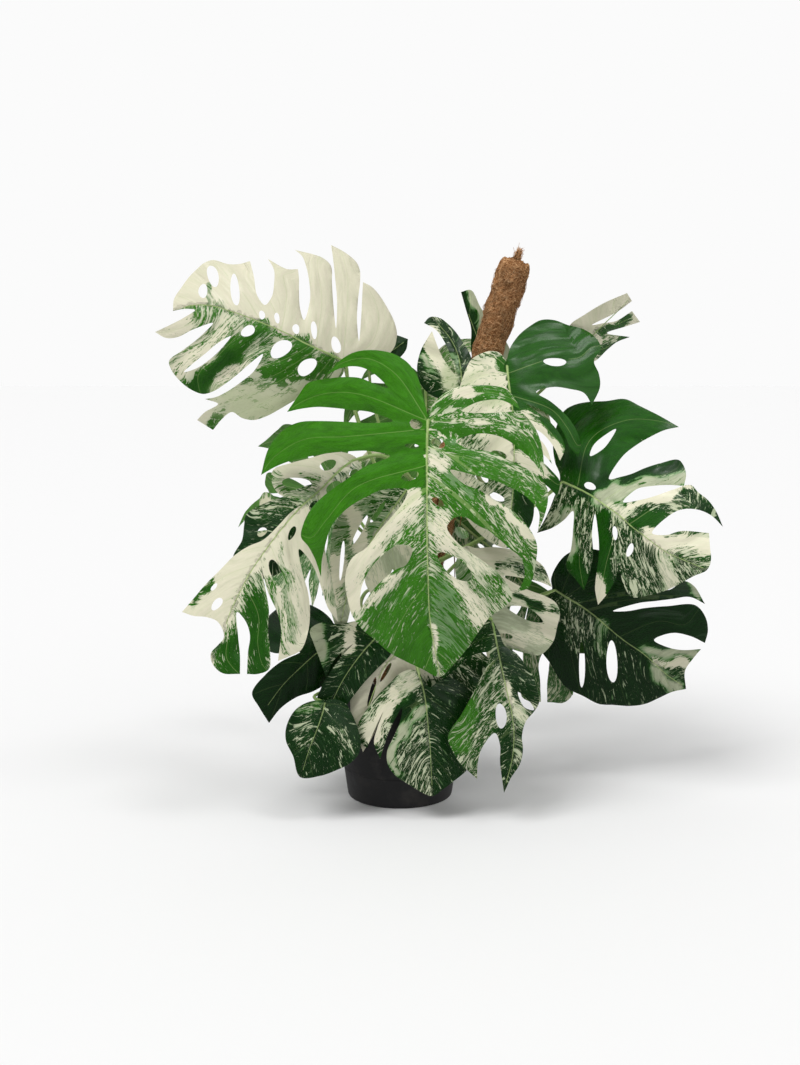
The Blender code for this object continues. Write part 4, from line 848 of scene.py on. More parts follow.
def curve_between(before: Array, start: Array, end: Array, after: Array, step: float) -> Array:
    """Return places on a smooth curve from start towards end, without end.

    Args:
        before: the place before start.
        start: where the curve starts.
        end: where the curve ends.
        after: the place after end.
        step: about how long each piece is.

    Returns:
        The places, one a row.
    """
    pieces = max(1, round(float(np.linalg.norm(end - start)) / step))
    legs = (start - before, end - start, after - end)
    gaps = [max(float(np.linalg.norm(leg)), LEAST_GAP) ** 0.5 for leg in legs]
    leave = (start - before) / gaps[0] - (end - before) / (gaps[0] + gaps[1]) + (end - start) / gaps[1]
    arrive = (end - start) / gaps[1] - (after - start) / (gaps[1] + gaps[2]) + (after - end) / gaps[2]
    t = (np.arange(pieces) / pieces)[:, None]
    return (
        (2.0 * t ** 3 - 3.0 * t ** 2 + 1.0) * start
        + (t ** 3 - 2.0 * t ** 2 + t) * leave * gaps[1]
        + (3.0 * t ** 2 - 2.0 * t ** 3) * end
        + (t ** 3 - t ** 2) * arrive * gaps[1]
    )


def smooth_line(points: Array, step: float) -> Array:
    """Return an open smooth curve through the points.

    Args:
        points: the places that the curve passes.
        step: about how long each piece is.

    Returns:
        The curve's places, one a row.
    """
    points = np.asarray(points, dtype=float)
    legs = np.vstack((2.0 * points[0] - points[1], points, 2.0 * points[-1] - points[-2]))
    rows = [curve_between(*legs[index:index + 4], step) for index in range(len(points) - 1)]
    return np.concatenate(rows + [points[-1:]])


def smooth_loop(points: tuple[Place, ...], step: float, keeps_tips: bool) -> Array:
    """Return a closed smooth curve through the points.

    Args:
        points: the outline's places.
        step: about how long each piece is.
        keeps_tips: True where sharp outward corners stay sharp.

    Returns:
        The curve's places, one a row.
    """
    loop = np.asarray(points, dtype=float)
    came = unit(loop - np.roll(loop, 1, axis=0))
    goes = unit(np.roll(loop, -1, axis=0) - loop)
    turns = np.arctan2(came[:, 0] * goes[:, 1] - came[:, 1] * goes[:, 0], (came * goes).sum(axis=1))
    is_tip = keeps_tips & (turns * np.sign(turns.sum()) > CORNER_TURN)
    rows = []
    for index, start in enumerate(loop):
        following = (index + 1) % len(loop)
        end = loop[following]
        before = 2.0 * start - end if is_tip[index] else loop[index - 1]
        after = 2.0 * end - start if is_tip[following] else loop[(index + 2) % len(loop)]
        rows.append(curve_between(before, start, end, after, step))
    return np.concatenate(rows)


def nearest_on_line(points: Array, line: Array) -> tuple[Array, Array, Array]:
    """Measure points against a line of straight pieces.

    Args:
        points: the places to measure, one a row.
        line: the line's places, one a row.

    Returns:
        Each point's gap to the line, how far along the line that is, and its side, 1 or -1.
    """
    gaps = np.full(len(points), np.inf)
    runs = np.zeros(len(points))
    sides = np.ones(len(points))
    run_so_far = 0.0
    for start, end in zip(line[:-1], line[1:]):
        step = end - start
        length = max(float(np.linalg.norm(step)), LEAST_LENGTH)
        offset = points - start
        share = np.clip(offset @ step / length ** 2, 0.0, 1.0)
        gap = np.linalg.norm(offset - share[:, None] * step, axis=1)
        side = np.where(step[0] * offset[:, 1] - step[1] * offset[:, 0] > 0.0, 1.0, -1.0)
        nearer = gap < gaps
        gaps = np.where(nearer, gap, gaps)
        runs = np.where(nearer, run_so_far + share * length, runs)
        sides = np.where(nearer, side, sides)
        run_so_far += length
    return gaps, runs, sides


def runs_along(line: Array) -> Array:
    """Return how far along a line of straight pieces each of its places lies."""
    return np.concatenate(([0.0], np.cumsum(np.linalg.norm(np.diff(line, axis=0), axis=1))))


def place_at(line: Array, share: float) -> Array:
    """Return the place at a share of a line's length."""
    runs = runs_along(line)
    return np.array([np.interp(share * runs[-1], runs, axis) for axis in line.T])


def is_inside(points: Array, loops: list[Array]) -> Array:
    """Tell which points lie inside the first loop and outside the others.

    Args:
        points: the places to test, one a row.
        loops: the closed curves.

    Returns:
        True for each point inside.
    """
    odd = np.zeros(len(points), dtype=bool)
    for loop in loops:
        for start, end in zip(loop, np.roll(loop, -1, axis=0)):
            rise = end[1] - start[1]
            if rise != 0.0:
                spans = (start[1] > points[:, 1]) != (end[1] > points[:, 1])
                crossing = start[0] + (points[:, 1] - start[1]) / rise * (end[0] - start[0])
                odd ^= spans & (points[:, 0] < crossing)
    return odd


def edge_gaps(points: Array, loops: list[Array]) -> Array:
    """Return each point's gap to the nearest loop."""
    return np.min([nearest_on_line(points, np.vstack((loop, loop[:1])))[0] for loop in loops], axis=0)


@dataclass
class Skin:
    """Vertices, faces and material numbers gathered for one piece."""
    places: list[Array] = field(default_factory=list)
    faces: Faces = field(default_factory=list)
    finishes: list[int] = field(default_factory=list)
    count: int = 0

    def add(self, places: Array, faces: Faces, finish: int = 0) -> None:
        """Add vertices with the faces between them.

        Args:
            places: the vertices, one a row.
            faces: the faces, as numbers of those vertices.
            finish: the number of the material that the faces take.
        """
        self.faces.extend(tuple(self.count + corner for corner in face) for face in faces)
        self.finishes.extend([finish] * len(faces))
        self.places.append(np.asarray(places))
        self.count += len(places)

    def item(self, name: str, materials: list[Material]) -> bpy.types.Object:
        """Make an object of the vertices and faces.

        Args:
            name: the object's name.
            materials: its materials, in the order of their numbers.

        Returns:
            The object.
        """
        mesh = bpy.data.meshes.new(name)
        mesh.from_pydata(np.concatenate(self.places).tolist(), [], self.faces)
        for material in materials:
            mesh.materials.append(material)
        mesh.polygons.foreach_set("material_index", self.finishes)
        item = bpy.data.objects.new(name, mesh)
        bpy.context.scene.collection.objects.link(item)
        return item

    def piece(
        self, name: str, materials: list[Material], node: str, sharp_degrees: float = 50.0
    ) -> bpy.types.Object:
        """Make the piece, ride it on the frame and let it stand for a solid of the frame.

        Args:
            name: the piece's name.
            materials: its materials, in the order of their numbers.
            node: the solid that it stands for.
            sharp_degrees: edges that bend more than this stay sharp.

        Returns:
            The piece.
        """
        item = self.item(name, materials)
        item.data.polygons.foreach_set("use_smooth", [True] * len(self.faces))
        item.data.set_sharp_from_angle(angle=math.radians(sharp_degrees))
        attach(item, "root")
        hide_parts(node)
        LOG.info("%s: %d faces", name, len(self.faces))
        return item


def ring_faces(rings: int, sides: int) -> Faces:
    """Join rings of vertices into a body with flat ends.

    Args:
        rings: how many rings there are.
        sides: how many vertices a ring has.

    Returns:
        The faces, as numbers of the vertices.
    """
    faces = []
    for low in range(0, (rings - 1) * sides, sides):
        for side in range(sides):
            following = (side + 1) % sides
            faces.append((low + side, low + following, low + sides + following, low + sides + side))
    faces.append(tuple(range(sides - 1, -1, -1)))
    faces.append(tuple(range((rings - 1) * sides, rings * sides)))
    return faces


def full_turn(sides: int) -> Array:
    """Return the angles of a full turn's steps."""
    return np.linspace(0.0, 2.0 * math.pi, sides, endpoint=False)


def sweep(route: Array, radii: Array, sides: int, waver: float = 0.0) -> tuple[Array, Faces]:
    """Sweep a round section along a route.

    Args:
        route: the places of the tube's centre, one a row.
        radii: the radius at each place.
        sides: how many sides the tube has.
        waver: how uneven the section is, as a share of its radius.

    Returns:
        The tube's vertices and faces, ends closed.
    """
    steps = unit(np.gradient(route, axis=0))
    aside = np.cross(steps[0], (0.0, 0.0, 1.0) if abs(steps[0][2]) < 0.9 else (1.0, 0.0, 0.0))
    angles = full_turn(sides)
    rings = []
    for index, (place, step, radius) in enumerate(zip(route, steps, radii)):
        aside = unit(aside - step * (aside @ step))
        circle = np.outer(np.cos(angles), aside) + np.outer(np.sin(angles), np.cross(step, aside))
        uneven = 1.0 + waver * np.sin(2.0 * angles + 0.35 * index)
        rings.append(place + circle * (radius * uneven)[:, None])
    return np.concatenate(rings), ring_faces(len(route), sides)


def turned(profile: list[Place], sides: int) -> tuple[Array, Faces]:
    """Turn a profile about the upright axis.

    Args:
        profile: radius and height of its places, from one flat end to the other.
        sides: how many steps the full turn has.

    Returns:
        The body's vertices and faces.
    """
    angles = full_turn(sides)
    rings = [
        np.column_stack((radius * np.cos(angles), radius * np.sin(angles), np.full(sides, height)))
        for radius, height in profile
    ]
    return np.concatenate(rings), ring_faces(len(profile), sides)


def pole_place(height: float) -> Array:
    """Return the place on the pole's axis at a height."""
    return np.array(POLE_FOOT.lerp(POLE_HEAD, (height - POLE_FOOT.z) / (POLE_HEAD.z - POLE_FOOT.z)))


def pole_lean() -> Array:
    """Return the direction in which the pole leans."""
    return np.array((POLE_HEAD - POLE_FOOT).normalized())


def fleck_level(share: Array) -> Array:
    """Find the noise level under which flecks cover about a share of the skin.

    Args:
        share: the share, from 0 to 1.

    Returns:
        The level, steep at both ends, as this noise seldom leaves the middle of its range.
    """
    offset = share - 0.5
    return 0.5 + 0.236 * offset + 5.8 * offset ** 5


@dataclass(frozen=True)
class Finish:
    """What all finishes share: a name, and the way to a material."""
    name: str

    def inputs(self, tree: Tree) -> Inputs:
        """Return what goes into the shader, by input name."""
        raise NotImplementedError

    def dress(self) -> Material:
        """Make a material of the finish.

        Returns:
            The material.
        """
        material = bpy.data.materials.new(self.name)
        material.use_nodes = True
        feed(material.node_tree.nodes["Principled BSDF"], self.inputs(material.node_tree))
        return material

    def streaks(
        self, tree: Tree, flow: Socket, size_mm: tuple[float, float], layer: float, detail: float = 4.0
    ) -> Socket:
        """Add noise that is drawn out along a leaf's veins or a petiole.

        Args:
            tree: the node tree to add to.
            flow: metres across the veins, metres along them, and a number for the side.
            size_mm: how wide and how long a streak is.
            layer: a number that sets one layer of streaks apart from another.
            detail: how many finer steps the noise has.

        Returns:
            The noise, about 0.5 in the middle of its range.
        """
        scaled = add_node(tree, "VectorMath", {
            0: flow, 1: (1000.0 / size_mm[0], 1000.0 / size_mm[1], 9.0), 2: (layer, layer, layer),
        }, operation="MULTIPLY_ADD")
        return add_node(tree, "TexNoise", {
            "Vector": scaled, "Scale": 1.0, "Detail": detail, "Roughness": 0.6, "Distortion": 0.35,
        })

    def layers(
        self, tree: Tree, colour: Socket | str, layers: tuple[tuple[Socket, Socket | str], ...]
    ) -> Socket:
        """Lay colours over one another.

        Args:
            tree: the node tree to add to.
            colour: the colour underneath.
            layers: for each layer its share and its colour, from the lowest up.

        Returns:
            The colour on top.
        """
        for share, over in layers:
            pair = [linear(item) if isinstance(item, str) else item for item in (colour, over)]
            colour = add_node(tree, "Mix", {0: share, 6: pair[0], 7: pair[1]}, 2, data_type="RGBA")
        return colour


@dataclass(frozen=True)
class LeafUpperSide(Finish):
    """The upper side of a living monstera blade.

    Real name: variegated leaf lamina. It grows as a smooth skin under a thin wax, so it
    gives broad, soft highlights. Cells without leaf green show as cream flecks that run
    with the side veins, and cells that hold some below the skin show as sage.
    """
    name: str = "leaf_upper_side"
    green: str = "#33700d"
    deep_green: str = "#154804"
    dark_green: str = "#0b2e08"
    sage: str = "#a9b092"
    deep_sage: str = "#698c5a"
    cream: str = "#dfdac2"
    fleck: str = "#a9b693"
    pale: str = "#bac69a"
    vein: str = "#a9c07a"
    zone_mm: tuple[float, float] = (15.0, 50.0)
    fleck_mm: tuple[float, float] = (4.4, 30.0)
    sage_fleck_mm: tuple[float, float] = (5.72, 39.0)
    speck_mm: tuple[float, float] = (1.5, 9.0)
    zone_share: float = 0.32
    speck_share: float = 0.30
    fleck_softness: float = 0.010
    fleck_loss: float = 0.015
    speck_loss: float = 0.045
    halo_width: float = 0.035
    creamy: tuple[float, float] = (0.41, 0.54)
    sagey: tuple[float, float] = (0.52, 0.60)
    sage_sinks: float = 0.5
    green_swing: float = 0.25
    mottle: float = 0.22
    cream_tint: float = 0.4
    pale_cover: float = 0.75
    vein_mm: float = 1.4
    vein_strength: float = 0.28
    vein_left_on_dark: float = 0.25
    midrib_mm: float = 4.6
    midrib_strength: float = 0.90
    midrib_left_on_dark: float = 0.70
    roughness: float = 0.27
    roughness_less: float = 0.05
    roughness_more: float = 0.07
    gloss: float = 0.30
    relief_mm: float = 0.5
    relief_strength: float = 0.35
    quilting_mm: float = 2.8
    quilting_strength: float = 0.8

    def flecks(self, tree: Tree, level: Socket, grain: Socket, shift: float = 0.0) -> Socket:
        """Turn a level and a noise into crisp flecks where the noise stays under the level.

        Args:
            tree: the node tree to add to.
            level: the level.
            grain: the noise.
            shift: what is added to the level.

        Returns:
            1 inside the flecks and 0 between them.
        """
        rise = add_node(tree, "Math", {0: level, 1: grain}, operation="SUBTRACT")
        return add_node(tree, "MapRange", {
            0: rise, 1: -self.fleck_softness - shift, 2: self.fleck_softness - shift,
        }, interpolation_type="SMOOTHSTEP")

    def split(self, tree: Tree, name: str) -> list[Socket]:
        """Return the three numbers that the mesh holds under a name."""
        stored = add_node(tree, "Attribute", out="Vector", attribute_name=name)
        return list(add_node(tree, "SeparateXYZ", {0: stored}).node.outputs)

    def veins(self, tree: Tree, dark: Socket) -> Socket:
        """Add the midrib and the side veins, which show less where the skin is dark.

        Args:
            tree: the node tree to add to.
            dark: how dark the skin is.

        Returns:
            How strongly the veins show.
        """
        gaps = self.split(tree, "lines")
        shown = []
        for gap, width_mm, strength, left_on_dark in (
            (gaps[0], self.midrib_mm, self.midrib_strength, self.midrib_left_on_dark),
            (gaps[1], self.vein_mm, self.vein_strength, self.vein_left_on_dark),
        ):
            width = width_mm / 1000.0
            vein = add_node(
                tree, "MapRange", {0: gap, 1: 0.3 * width, 2: width, 3: strength, 4: 0.0},
                interpolation_type="SMOOTHSTEP",
            )
            left = add_node(tree, "MapRange", {0: dark, 3: 1.0, 4: left_on_dark})
            shown.append(add_node(tree, "Math", {0: vein, 1: left}, operation="MULTIPLY"))
        return add_node(tree, "Math", {0: shown[0], 1: shown[1]}, operation="MAXIMUM")

    def inputs(self, tree: Tree) -> Inputs:
        """Return what goes into the shader, by input name.

        Args:
            tree: the node tree to add to.

        Returns:
            The inputs: the pattern's colour, and a relief of quilting and veins.
        """
        flow = add_node(tree, "Attribute", out="Vector", attribute_name="flow")
        cream_level, sage_level, dark_share = self.split(tree, "levels")
        paleness, painted_shade, halo_level = self.split(tree, "extra")
        broad = self.streaks(tree, flow, self.fleck_mm, 0.0)
        fine = self.streaks(tree, flow, self.speck_mm, 31.0)
        zone = self.streaks(tree, flow, self.zone_mm, 57.0)
        # Mixed noise swings less than one noise alone, so it is spread again about its middle
        mixed = add_node(tree, "Mix", {0: self.zone_share, 2: broad, 3: zone})
        grain = add_node(tree, "Math", {0: mixed, 1: 1.3, 2: -0.15}, operation="MULTIPLY_ADD")
        other = self.streaks(tree, flow, self.sage_fleck_mm, 83.0)
        other = add_node(tree, "Mix", {0: self.speck_share, 2: other, 3: fine})
        # Cream comes in broad flecks and in specks, and sage in flecks of its own and beside the cream ones
        cream_flecks = self.flecks(tree, cream_level, grain, -self.fleck_loss)
        specks = self.flecks(tree, cream_level, fine, -self.speck_loss)
        cream_cover = add_node(tree, "Math", {0: cream_flecks, 1: specks}, operation="MAXIMUM")
        beside = self.flecks(tree, cream_level, grain, self.halo_width)
        near = self.flecks(tree, halo_level, zone)
        halo = add_node(tree, "Math", {0: beside, 1: near}, operation="MULTIPLY")
        sage_flecks = self.flecks(tree, sage_level, other)
        sage_cover = add_node(tree, "Math", {0: sage_flecks, 1: halo}, operation="MAXIMUM")
        # The green runs from light to deep to dark
        swing = add_node(tree, "Math", {
            0: other, 1: 2.0 * self.green_swing, 2: -self.green_swing,
        }, operation="MULTIPLY_ADD")
        depth = add_node(tree, "Math", {0: swing, 1: dark_share}, operation="ADD")
        deep = add_node(tree, "MapRange", {0: depth, 2: 0.5})
        dark = add_node(tree, "MapRange", {0: depth, 1: 0.5})
        green = self.layers(tree, self.green, ((deep, self.deep_green), (dark, self.dark_green)))
        # Flecks are lighter where there are many of them, and dull where the green is dark
        creamy = add_node(tree, "MapRange", {0: cream_level, 1: self.creamy[0], 2: self.creamy[1]})
        sagey = add_node(tree, "MapRange", {0: sage_level, 1: self.sagey[0], 2: self.sagey[1]})
        lightness = add_node(tree, "Math", {0: creamy, 1: sagey}, operation="MAXIMUM")
        sunk = add_node(tree, "Math", {0: dark, 1: self.sage_sinks}, operation="MULTIPLY")
        sage = self.layers(tree, self.deep_sage, ((lightness, self.sage), (sunk, self.dark_green)))
        mottle = add_node(tree, "MapRange", {
            0: mixed, 1: 0.35, 2: 0.65, 3: 1.0 - self.mottle, 4: 1.0 + self.mottle,
        })
        ground = self.layers(tree, green, ((sage_cover, sage),))
        ground = add_node(tree, "VectorMath", {0: ground, "Scale": mottle}, operation="SCALE")
        tint = add_node(tree, "MapRange", {0: other, 1: 0.4, 2: 0.7, 4: self.cream_tint})
        tinted = self.layers(tree, self.cream, ((tint, self.pale),))
        cream = self.layers(tree, self.fleck, ((creamy, tinted),))
        pale_cover = add_node(tree, "Math", {0: paleness, 1: self.pale_cover}, operation="MULTIPLY")
        veins = self.veins(tree, dark)
        over = ((cream_cover, cream), (pale_cover, self.pale), (veins, self.vein))
        colour = self.layers(tree, ground, over)
        # Painted shade: the colour of the whole leaf is darkened by the leaf's shade number
        light = add_node(tree, "Math", {0: 1.0, 1: painted_shade}, operation="SUBTRACT")
        quilting = add_node(tree, "Bump", {
            "Strength": self.quilting_strength, "Distance": self.quilting_mm / 1000.0,
            "Height": self.streaks(tree, flow, self.zone_mm, 57.0, 0.5),
        })
        return {
            "Base Color": add_node(tree, "VectorMath", {0: colour, "Scale": light}, operation="SCALE"),
            "Roughness": add_node(tree, "MapRange", {
                0: fine, 1: 0.3, 2: 0.7,
                3: self.roughness - self.roughness_less, 4: self.roughness + self.roughness_more,
            }),
            "Specular IOR Level": self.gloss,
            "Normal": add_node(tree, "Bump", {
                "Strength": self.relief_strength, "Distance": self.relief_mm / 1000.0,
                "Height": veins, "Normal": quilting,
            }),
        }


@dataclass(frozen=True)
class LeafUnderside(LeafUpperSide):
    """The underside of the blade: no wax, so it is matt and paler, and its veins stand out."""
    name: str = "leaf_underside"
    green: str = "#54803a"
    deep_green: str = "#3f6a33"
    dark_green: str = "#345239"
    sage: str = "#93a387"
    deep_sage: str = "#6d8a63"
    cream: str = "#d8d3b8"
    vein: str = "#b7c791"
    vein_mm: float = 1.8
    vein_strength: float = 0.45
    roughness: float = 0.6
    gloss: float = 0.15
    relief_mm: float = 0.9


@dataclass(frozen=True)
class PetioleSkin(Finish):
    """Living petiole skin: a smooth, firm green rind with long pale streaks and fine dots."""
    name: str = "petiole_skin"
    green: str = "#6c9440"
    pale: str = "#bccb8c"
    streak_mm: tuple[float, float] = (2.5, 60.0)
    streak_from: float = 0.42
    streak_full: float = 0.62
    roughness: float = 0.42
    relief_mm: float = 0.4
    relief_strength: float = 0.3

    def inputs(self, tree: Tree) -> Inputs:
        """Return what goes into the shader, by input name.

        Args:
            tree: the node tree to add to.

        Returns:
            The inputs: streaked colour and a faint relief.
        """
        flow = add_node(tree, "Attribute", out="Vector", attribute_name="flow")
        streaks = self.streaks(tree, flow, self.streak_mm, 0.0, 3.0)
        mask = add_node(tree, "MapRange", {0: streaks, 1: self.streak_from, 2: self.streak_full})
        return {
            "Base Color": self.layers(tree, self.green, ((mask, self.pale),)),
            "Roughness": self.roughness,
            "Normal": add_node(tree, "Bump", {
                "Strength": self.relief_strength, "Distance": self.relief_mm / 1000.0, "Height": streaks,
            }),
        }


@dataclass
class MonsteraLeaf:
    """One leaf: a blade with its veins and tones, and a petiole that runs on as the underside's rib.

    Lengths on the blade are in plane units, and heights and the petiole's sizes in metres.
    """
    plan: LeafPlan
    look: LeafLook
    finishes: list[Material]
    petiole_finish: Material
    blade_half: float = 0.0006
    petiole_radius: float = 0.0056
    petiole_end_radius: float = 0.0040
    sheath_length: float = 0.035
    sheath_swell: float = 0.55
    knee_at: float = 0.016
    knee_length: float = 0.010
    knee_swell: float = 0.22
    full_leaf: float = 0.50
    least_stoutness: float = 0.6
    broad_lobe: float = 62.0
    vein_spacing: float = 46.0
    vein_bow: float = 0.10
    least_vein: float = 12.0
    no_vein: float = 40.0
    vein_narrows_over: float = 90.0
    bare_tip: float = 4.0
    droop: float = 0.0100
    droop_at: float = 20.0
    ripple: float = 0.0020
    ripple_along: float = 9.0
    ripple_across: float = 13.0
    free_edge: float = 14.0
    valley: float = 0.0014
    valley_width: float = 3.2
    deep_valley: float = 16.0
    groove_width: float = 4.0
    rib_stays: float = 22.0
    tilt: float = 0.09
    half_weight: float = 0.12
    tone_waver: float = 6.3
    tone_swing: float = 2.2
    tone_jag: float = 1.6

    def __post_init__(self) -> None:
        """Work out the outline, the midrib and the side veins on the picture plane."""
        self.midrib = smooth_line(self.plan.midrib, LINE_STEP)
        self.rib_length = float(runs_along(self.midrib)[-1])
        self.loops = [smooth_loop(self.plan.edge, EDGE_STEP, True)]
        self.loops.extend(hole.loop() for hole in self.plan.holes)
        self.seed = float(sum(ord(letter) for letter in self.plan.name) % 97)
        self.veins = {side: self.side_veins(side) for side in (1.0, -1.0)}
        span = (np.array(self.plan.midrib[-1]) - np.array(self.plan.midrib[0])) * PLANE_UNIT * self.plan.grow
        length = float(np.linalg.norm(span))
        share = self.least_stoutness + (1.0 - self.least_stoutness) * length / self.full_leaf
        self.stoutness = min(1.0, share)

    def half_edge(self, side: float) -> Array:
        """Return the edge of one half of the blade, from its base to its tip.

        Args:
            side: 1 for the half on the left of the midrib, -1 for the other.

        Returns:
            The edge's places, one a row.
        """
        loop = self.loops[0]
        ends = (self.midrib[0], self.midrib[-1])
        base, tip = (int(np.linalg.norm(loop - end, axis=1).argmin()) for end in ends)
        ring = np.roll(loop, -base, axis=0)
        cut = (tip - base) % len(loop)
        halves = (ring[:cut + 1], np.vstack((ring[cut:], ring[:1]))[::-1])
        gaps, _, sides = nearest_on_line(halves[0], self.midrib)
        return halves[0] if (gaps * sides).sum() * side > 0.0 else halves[1]

    def side_veins(self, side: float) -> list[Array]:
        """Find the side veins of one half: one to each lobe's tip, several in a broad lobe.

        Args:
            side: 1 for the half on the left of the midrib, -1 for the other.

        Returns:
            The veins from base to tip, each a line of places.
        """
        half = self.half_edge(side)
        turns = self.lobes(nearest_on_line(half, self.midrib)[0])
        furthest = self.rib_length - self.bare_tip
        veins = []
        for low, top, high in zip(turns[0:-2:2], turns[1:-1:2], turns[2::2]):
            if float(np.linalg.norm(half[low] - half[high])) < self.broad_lobe:
                out = half[low:top + 1]
                back = half[top:high + 1][::-1]
                middle = 0.5 * (half[low] + half[high])
                gap, run, _ = nearest_on_line(middle[None], self.midrib)
                # A side vein leaves the midrib a little nearer the base than the lobe lies
                leaves = np.clip(run[0] - 0.3 * gap[0], 1.0, furthest) / self.rib_length
                line = [place_at(self.midrib, leaves)]
                for share in (0.3, 0.6, 0.85):
                    line.append(0.5 * (place_at(out, share) + place_at(back, share)))
                veins.append(smooth_line(line + [half[top]], LINE_STEP))
                continue
            stretch = half[low:high + 1]
            amount = max(2, round(runs_along(stretch)[-1] / self.vein_spacing))
            for order in range(amount):
                end = place_at(stretch, (order + 0.6) / amount)
                gap, run, _ = nearest_on_line(end[None], self.midrib)
                # In a broad lobe the side veins slant more, the nearer they are to the tip
                back_by = (0.5 + 0.9 * run[0] / self.rib_length) * gap[0]
                leaves = np.clip(run[0] - back_by, 1.0 + 6.0 * order, furthest) / self.rib_length
                start = place_at(self.midrib, leaves)
                from_tip = unit(start - place_at(self.midrib, 1.0))
                middle = 0.5 * (start + end) + self.vein_bow * gap[0] * from_tip
                veins.append(smooth_line([start, middle, end], LINE_STEP))
        return [vein for vein in veins if runs_along(vein)[-1] > self.least_vein]

    @staticmethod
    def lobes(gaps: Array, least: float = 8.0) -> list[int]:
        """Find where an edge turns out to a lobe's tip and back in.

        Args:
            gaps: how far each place of the edge is from the midrib.
            least: how much the gap must change for a turn to count.

        Returns:
            The numbers of the places: notch, tip, notch, and so on.
        """
        turns = [0]
        best = 0
        rising = True
        for index, gap in enumerate(gaps):
            if rising and gap > gaps[best] or not rising and gap < gaps[best]:
                best = index
            elif abs(gap - gaps[best]) > least:
                turns.append(best)
                rising = not rising
                best = index
        turns.append(len(gaps) - 1)
        if len(turns) % 2 == 0:
            turns.insert(-1, best)
        return turns

    def clear_of(self, points: Array, lines: list[Array]) -> Array:
        """Tell which places lie in the blade, clear of its edge and of lines.

        Args:
            points: the places to test, one a row.
            lines: the lines to keep clear of.

        Returns:
            True for each place that is clear.
        """
        clear = is_inside(points, self.loops)
        clear[clear] = edge_gaps(points[clear], self.loops) > EDGE_CLEAR
        for line in lines:
            clear[clear] = nearest_on_line(points[clear], line)[0] > LINE_CLEAR
        return clear

    def mesh_points(self) -> tuple[Array, Faces]:
        """Divide the blade into triangles on the picture plane.

        Returns:
            The places and the triangles.
        """
        flat = []
        edges = []
        for loop in self.loops:
            first = len(flat)
            flat.extend(loop)
            edges.extend((first + i, first + (i + 1) % len(loop)) for i in range(len(loop)))
        lines = [self.midrib] + self.veins[1.0] + self.veins[-1.0]
        for line in lines:
            clear = self.clear_of(line, [])
            clear_before = is_inside(0.5 * (line + np.roll(line, 1, axis=0)), self.loops) & np.roll(clear, 1)
            for index in np.flatnonzero(clear):
                flat.append(line[index])
                if index and clear_before[index]:
                    edges.append((len(flat) - 2, len(flat) - 1))
        low = self.loops[0].min(axis=0)
        high = self.loops[0].max(axis=0)
        row_height = GRID_STEP * math.sqrt(0.75)
        row_count = int((high[1] - low[1]) / row_height) + 1
        column_count = int((high[0] - low[0]) / GRID_STEP) + 1
        rows, columns = np.mgrid[0:row_count, 0:column_count]
        grid = np.column_stack((
            (low[0] + columns * GRID_STEP + 0.5 * GRID_STEP * (rows % 2)).ravel(),
            (low[1] + rows * row_height).ravel(),
        ))
        flat.extend(grid[self.clear_of(grid, lines)])
        flat = [Vector(place) for place in flat]
        divided = delaunay_2d_cdt(flat, edges, [], 0, MERGE_DISTANCE)
        points = np.array(divided[0])
        corners = np.array(divided[2])
        corners = corners[is_inside(points[corners].mean(axis=1), self.loops)]
        used, corners = np.unique(corners, return_inverse=True)
        return points[used], [tuple(face) for face in corners.reshape(-1, 3).tolist()]

    def fields(self, points: Array) -> dict[str, Array]:
        """Measure the places of the blade against its midrib, veins and edge.

        Args:
            points: places on the picture plane, one a row.

        Returns:
            The gaps in plane units, the side, and the place across and along the flow of veins.
        """
        rib_gap, rib_run, side = nearest_on_line(points, self.midrib)
        across = rib_gap.copy()
        along = rib_run.copy()
        vein_gap = np.full(len(points), self.no_vein)
        tilt = np.zeros(len(points))
        for which, veins in self.veins.items():
            chosen = side == which
            if veins and chosen.any():
                measured = np.array([nearest_on_line(points[chosen], vein) for vein in veins])
                gaps, runs = measured[:, 0], measured[:, 1]
                signed = gaps * measured[:, 2]
                # The flow between veins follows all of them, the nearest ones most
                weights = 1.0 / (gaps + 1.5) ** 3
                weights /= weights.sum(axis=0)
                starts = nearest_on_line(np.array([vein[0] for vein in veins]), self.midrib)[1]
                across[chosen] = (weights * (0.85 * starts[:, None] - which * signed)).sum(axis=0)
                along[chosen] = (weights * runs).sum(axis=0)
                # Each lobe leans a little to its own side
                slopes = np.sin(2.4 * np.arange(len(veins)) + self.seed + which)
                tilt[chosen] = (weights * slopes[:, None] * np.clip(signed, -30.0, 30.0)).sum(axis=0)
                vein_gap[chosen] = gaps.min(axis=0)
        return {
            "rib_gap": rib_gap, "rib_run": rib_run, "side": side, "edge_gap": edge_gaps(points, self.loops),
            "vein_gap": vein_gap, "across": across, "along": along, "tilt": tilt,
        }

    def tones(self, points: Array, side: Array) -> Array:
        """Blend the tones of the blade's halves and patches.

        Args:
            points: places on the picture plane, one a row.
            side: which half each one lies in.

        Returns:
            Shares of cream, sage, dark green and pale green, one row a place.
        """
        weight = np.full(len(points), self.half_weight)
        total = np.where(side[:, None] > 0.0, self.look.left.value, self.look.right.value) * weight[:, None]
        # Two waves, one over the other, make the borders between the tones uneven
        swing = points[:, ::-1] / self.tone_waver + self.seed
        warped = points + self.tone_swing * np.sin(swing) + self.tone_jag * np.sin(2.3 * swing[:, ::-1] + 1.0)
        for patch in self.look.patches:
            gap = nearest_on_line(warped, np.array((patch.start, patch.end)))[0]
            pull = np.exp(-(gap / patch.reach) ** 2.4)
            total += pull[:, None] * np.array(patch.tone.value)
            weight += pull
        return total / weight[:, None]

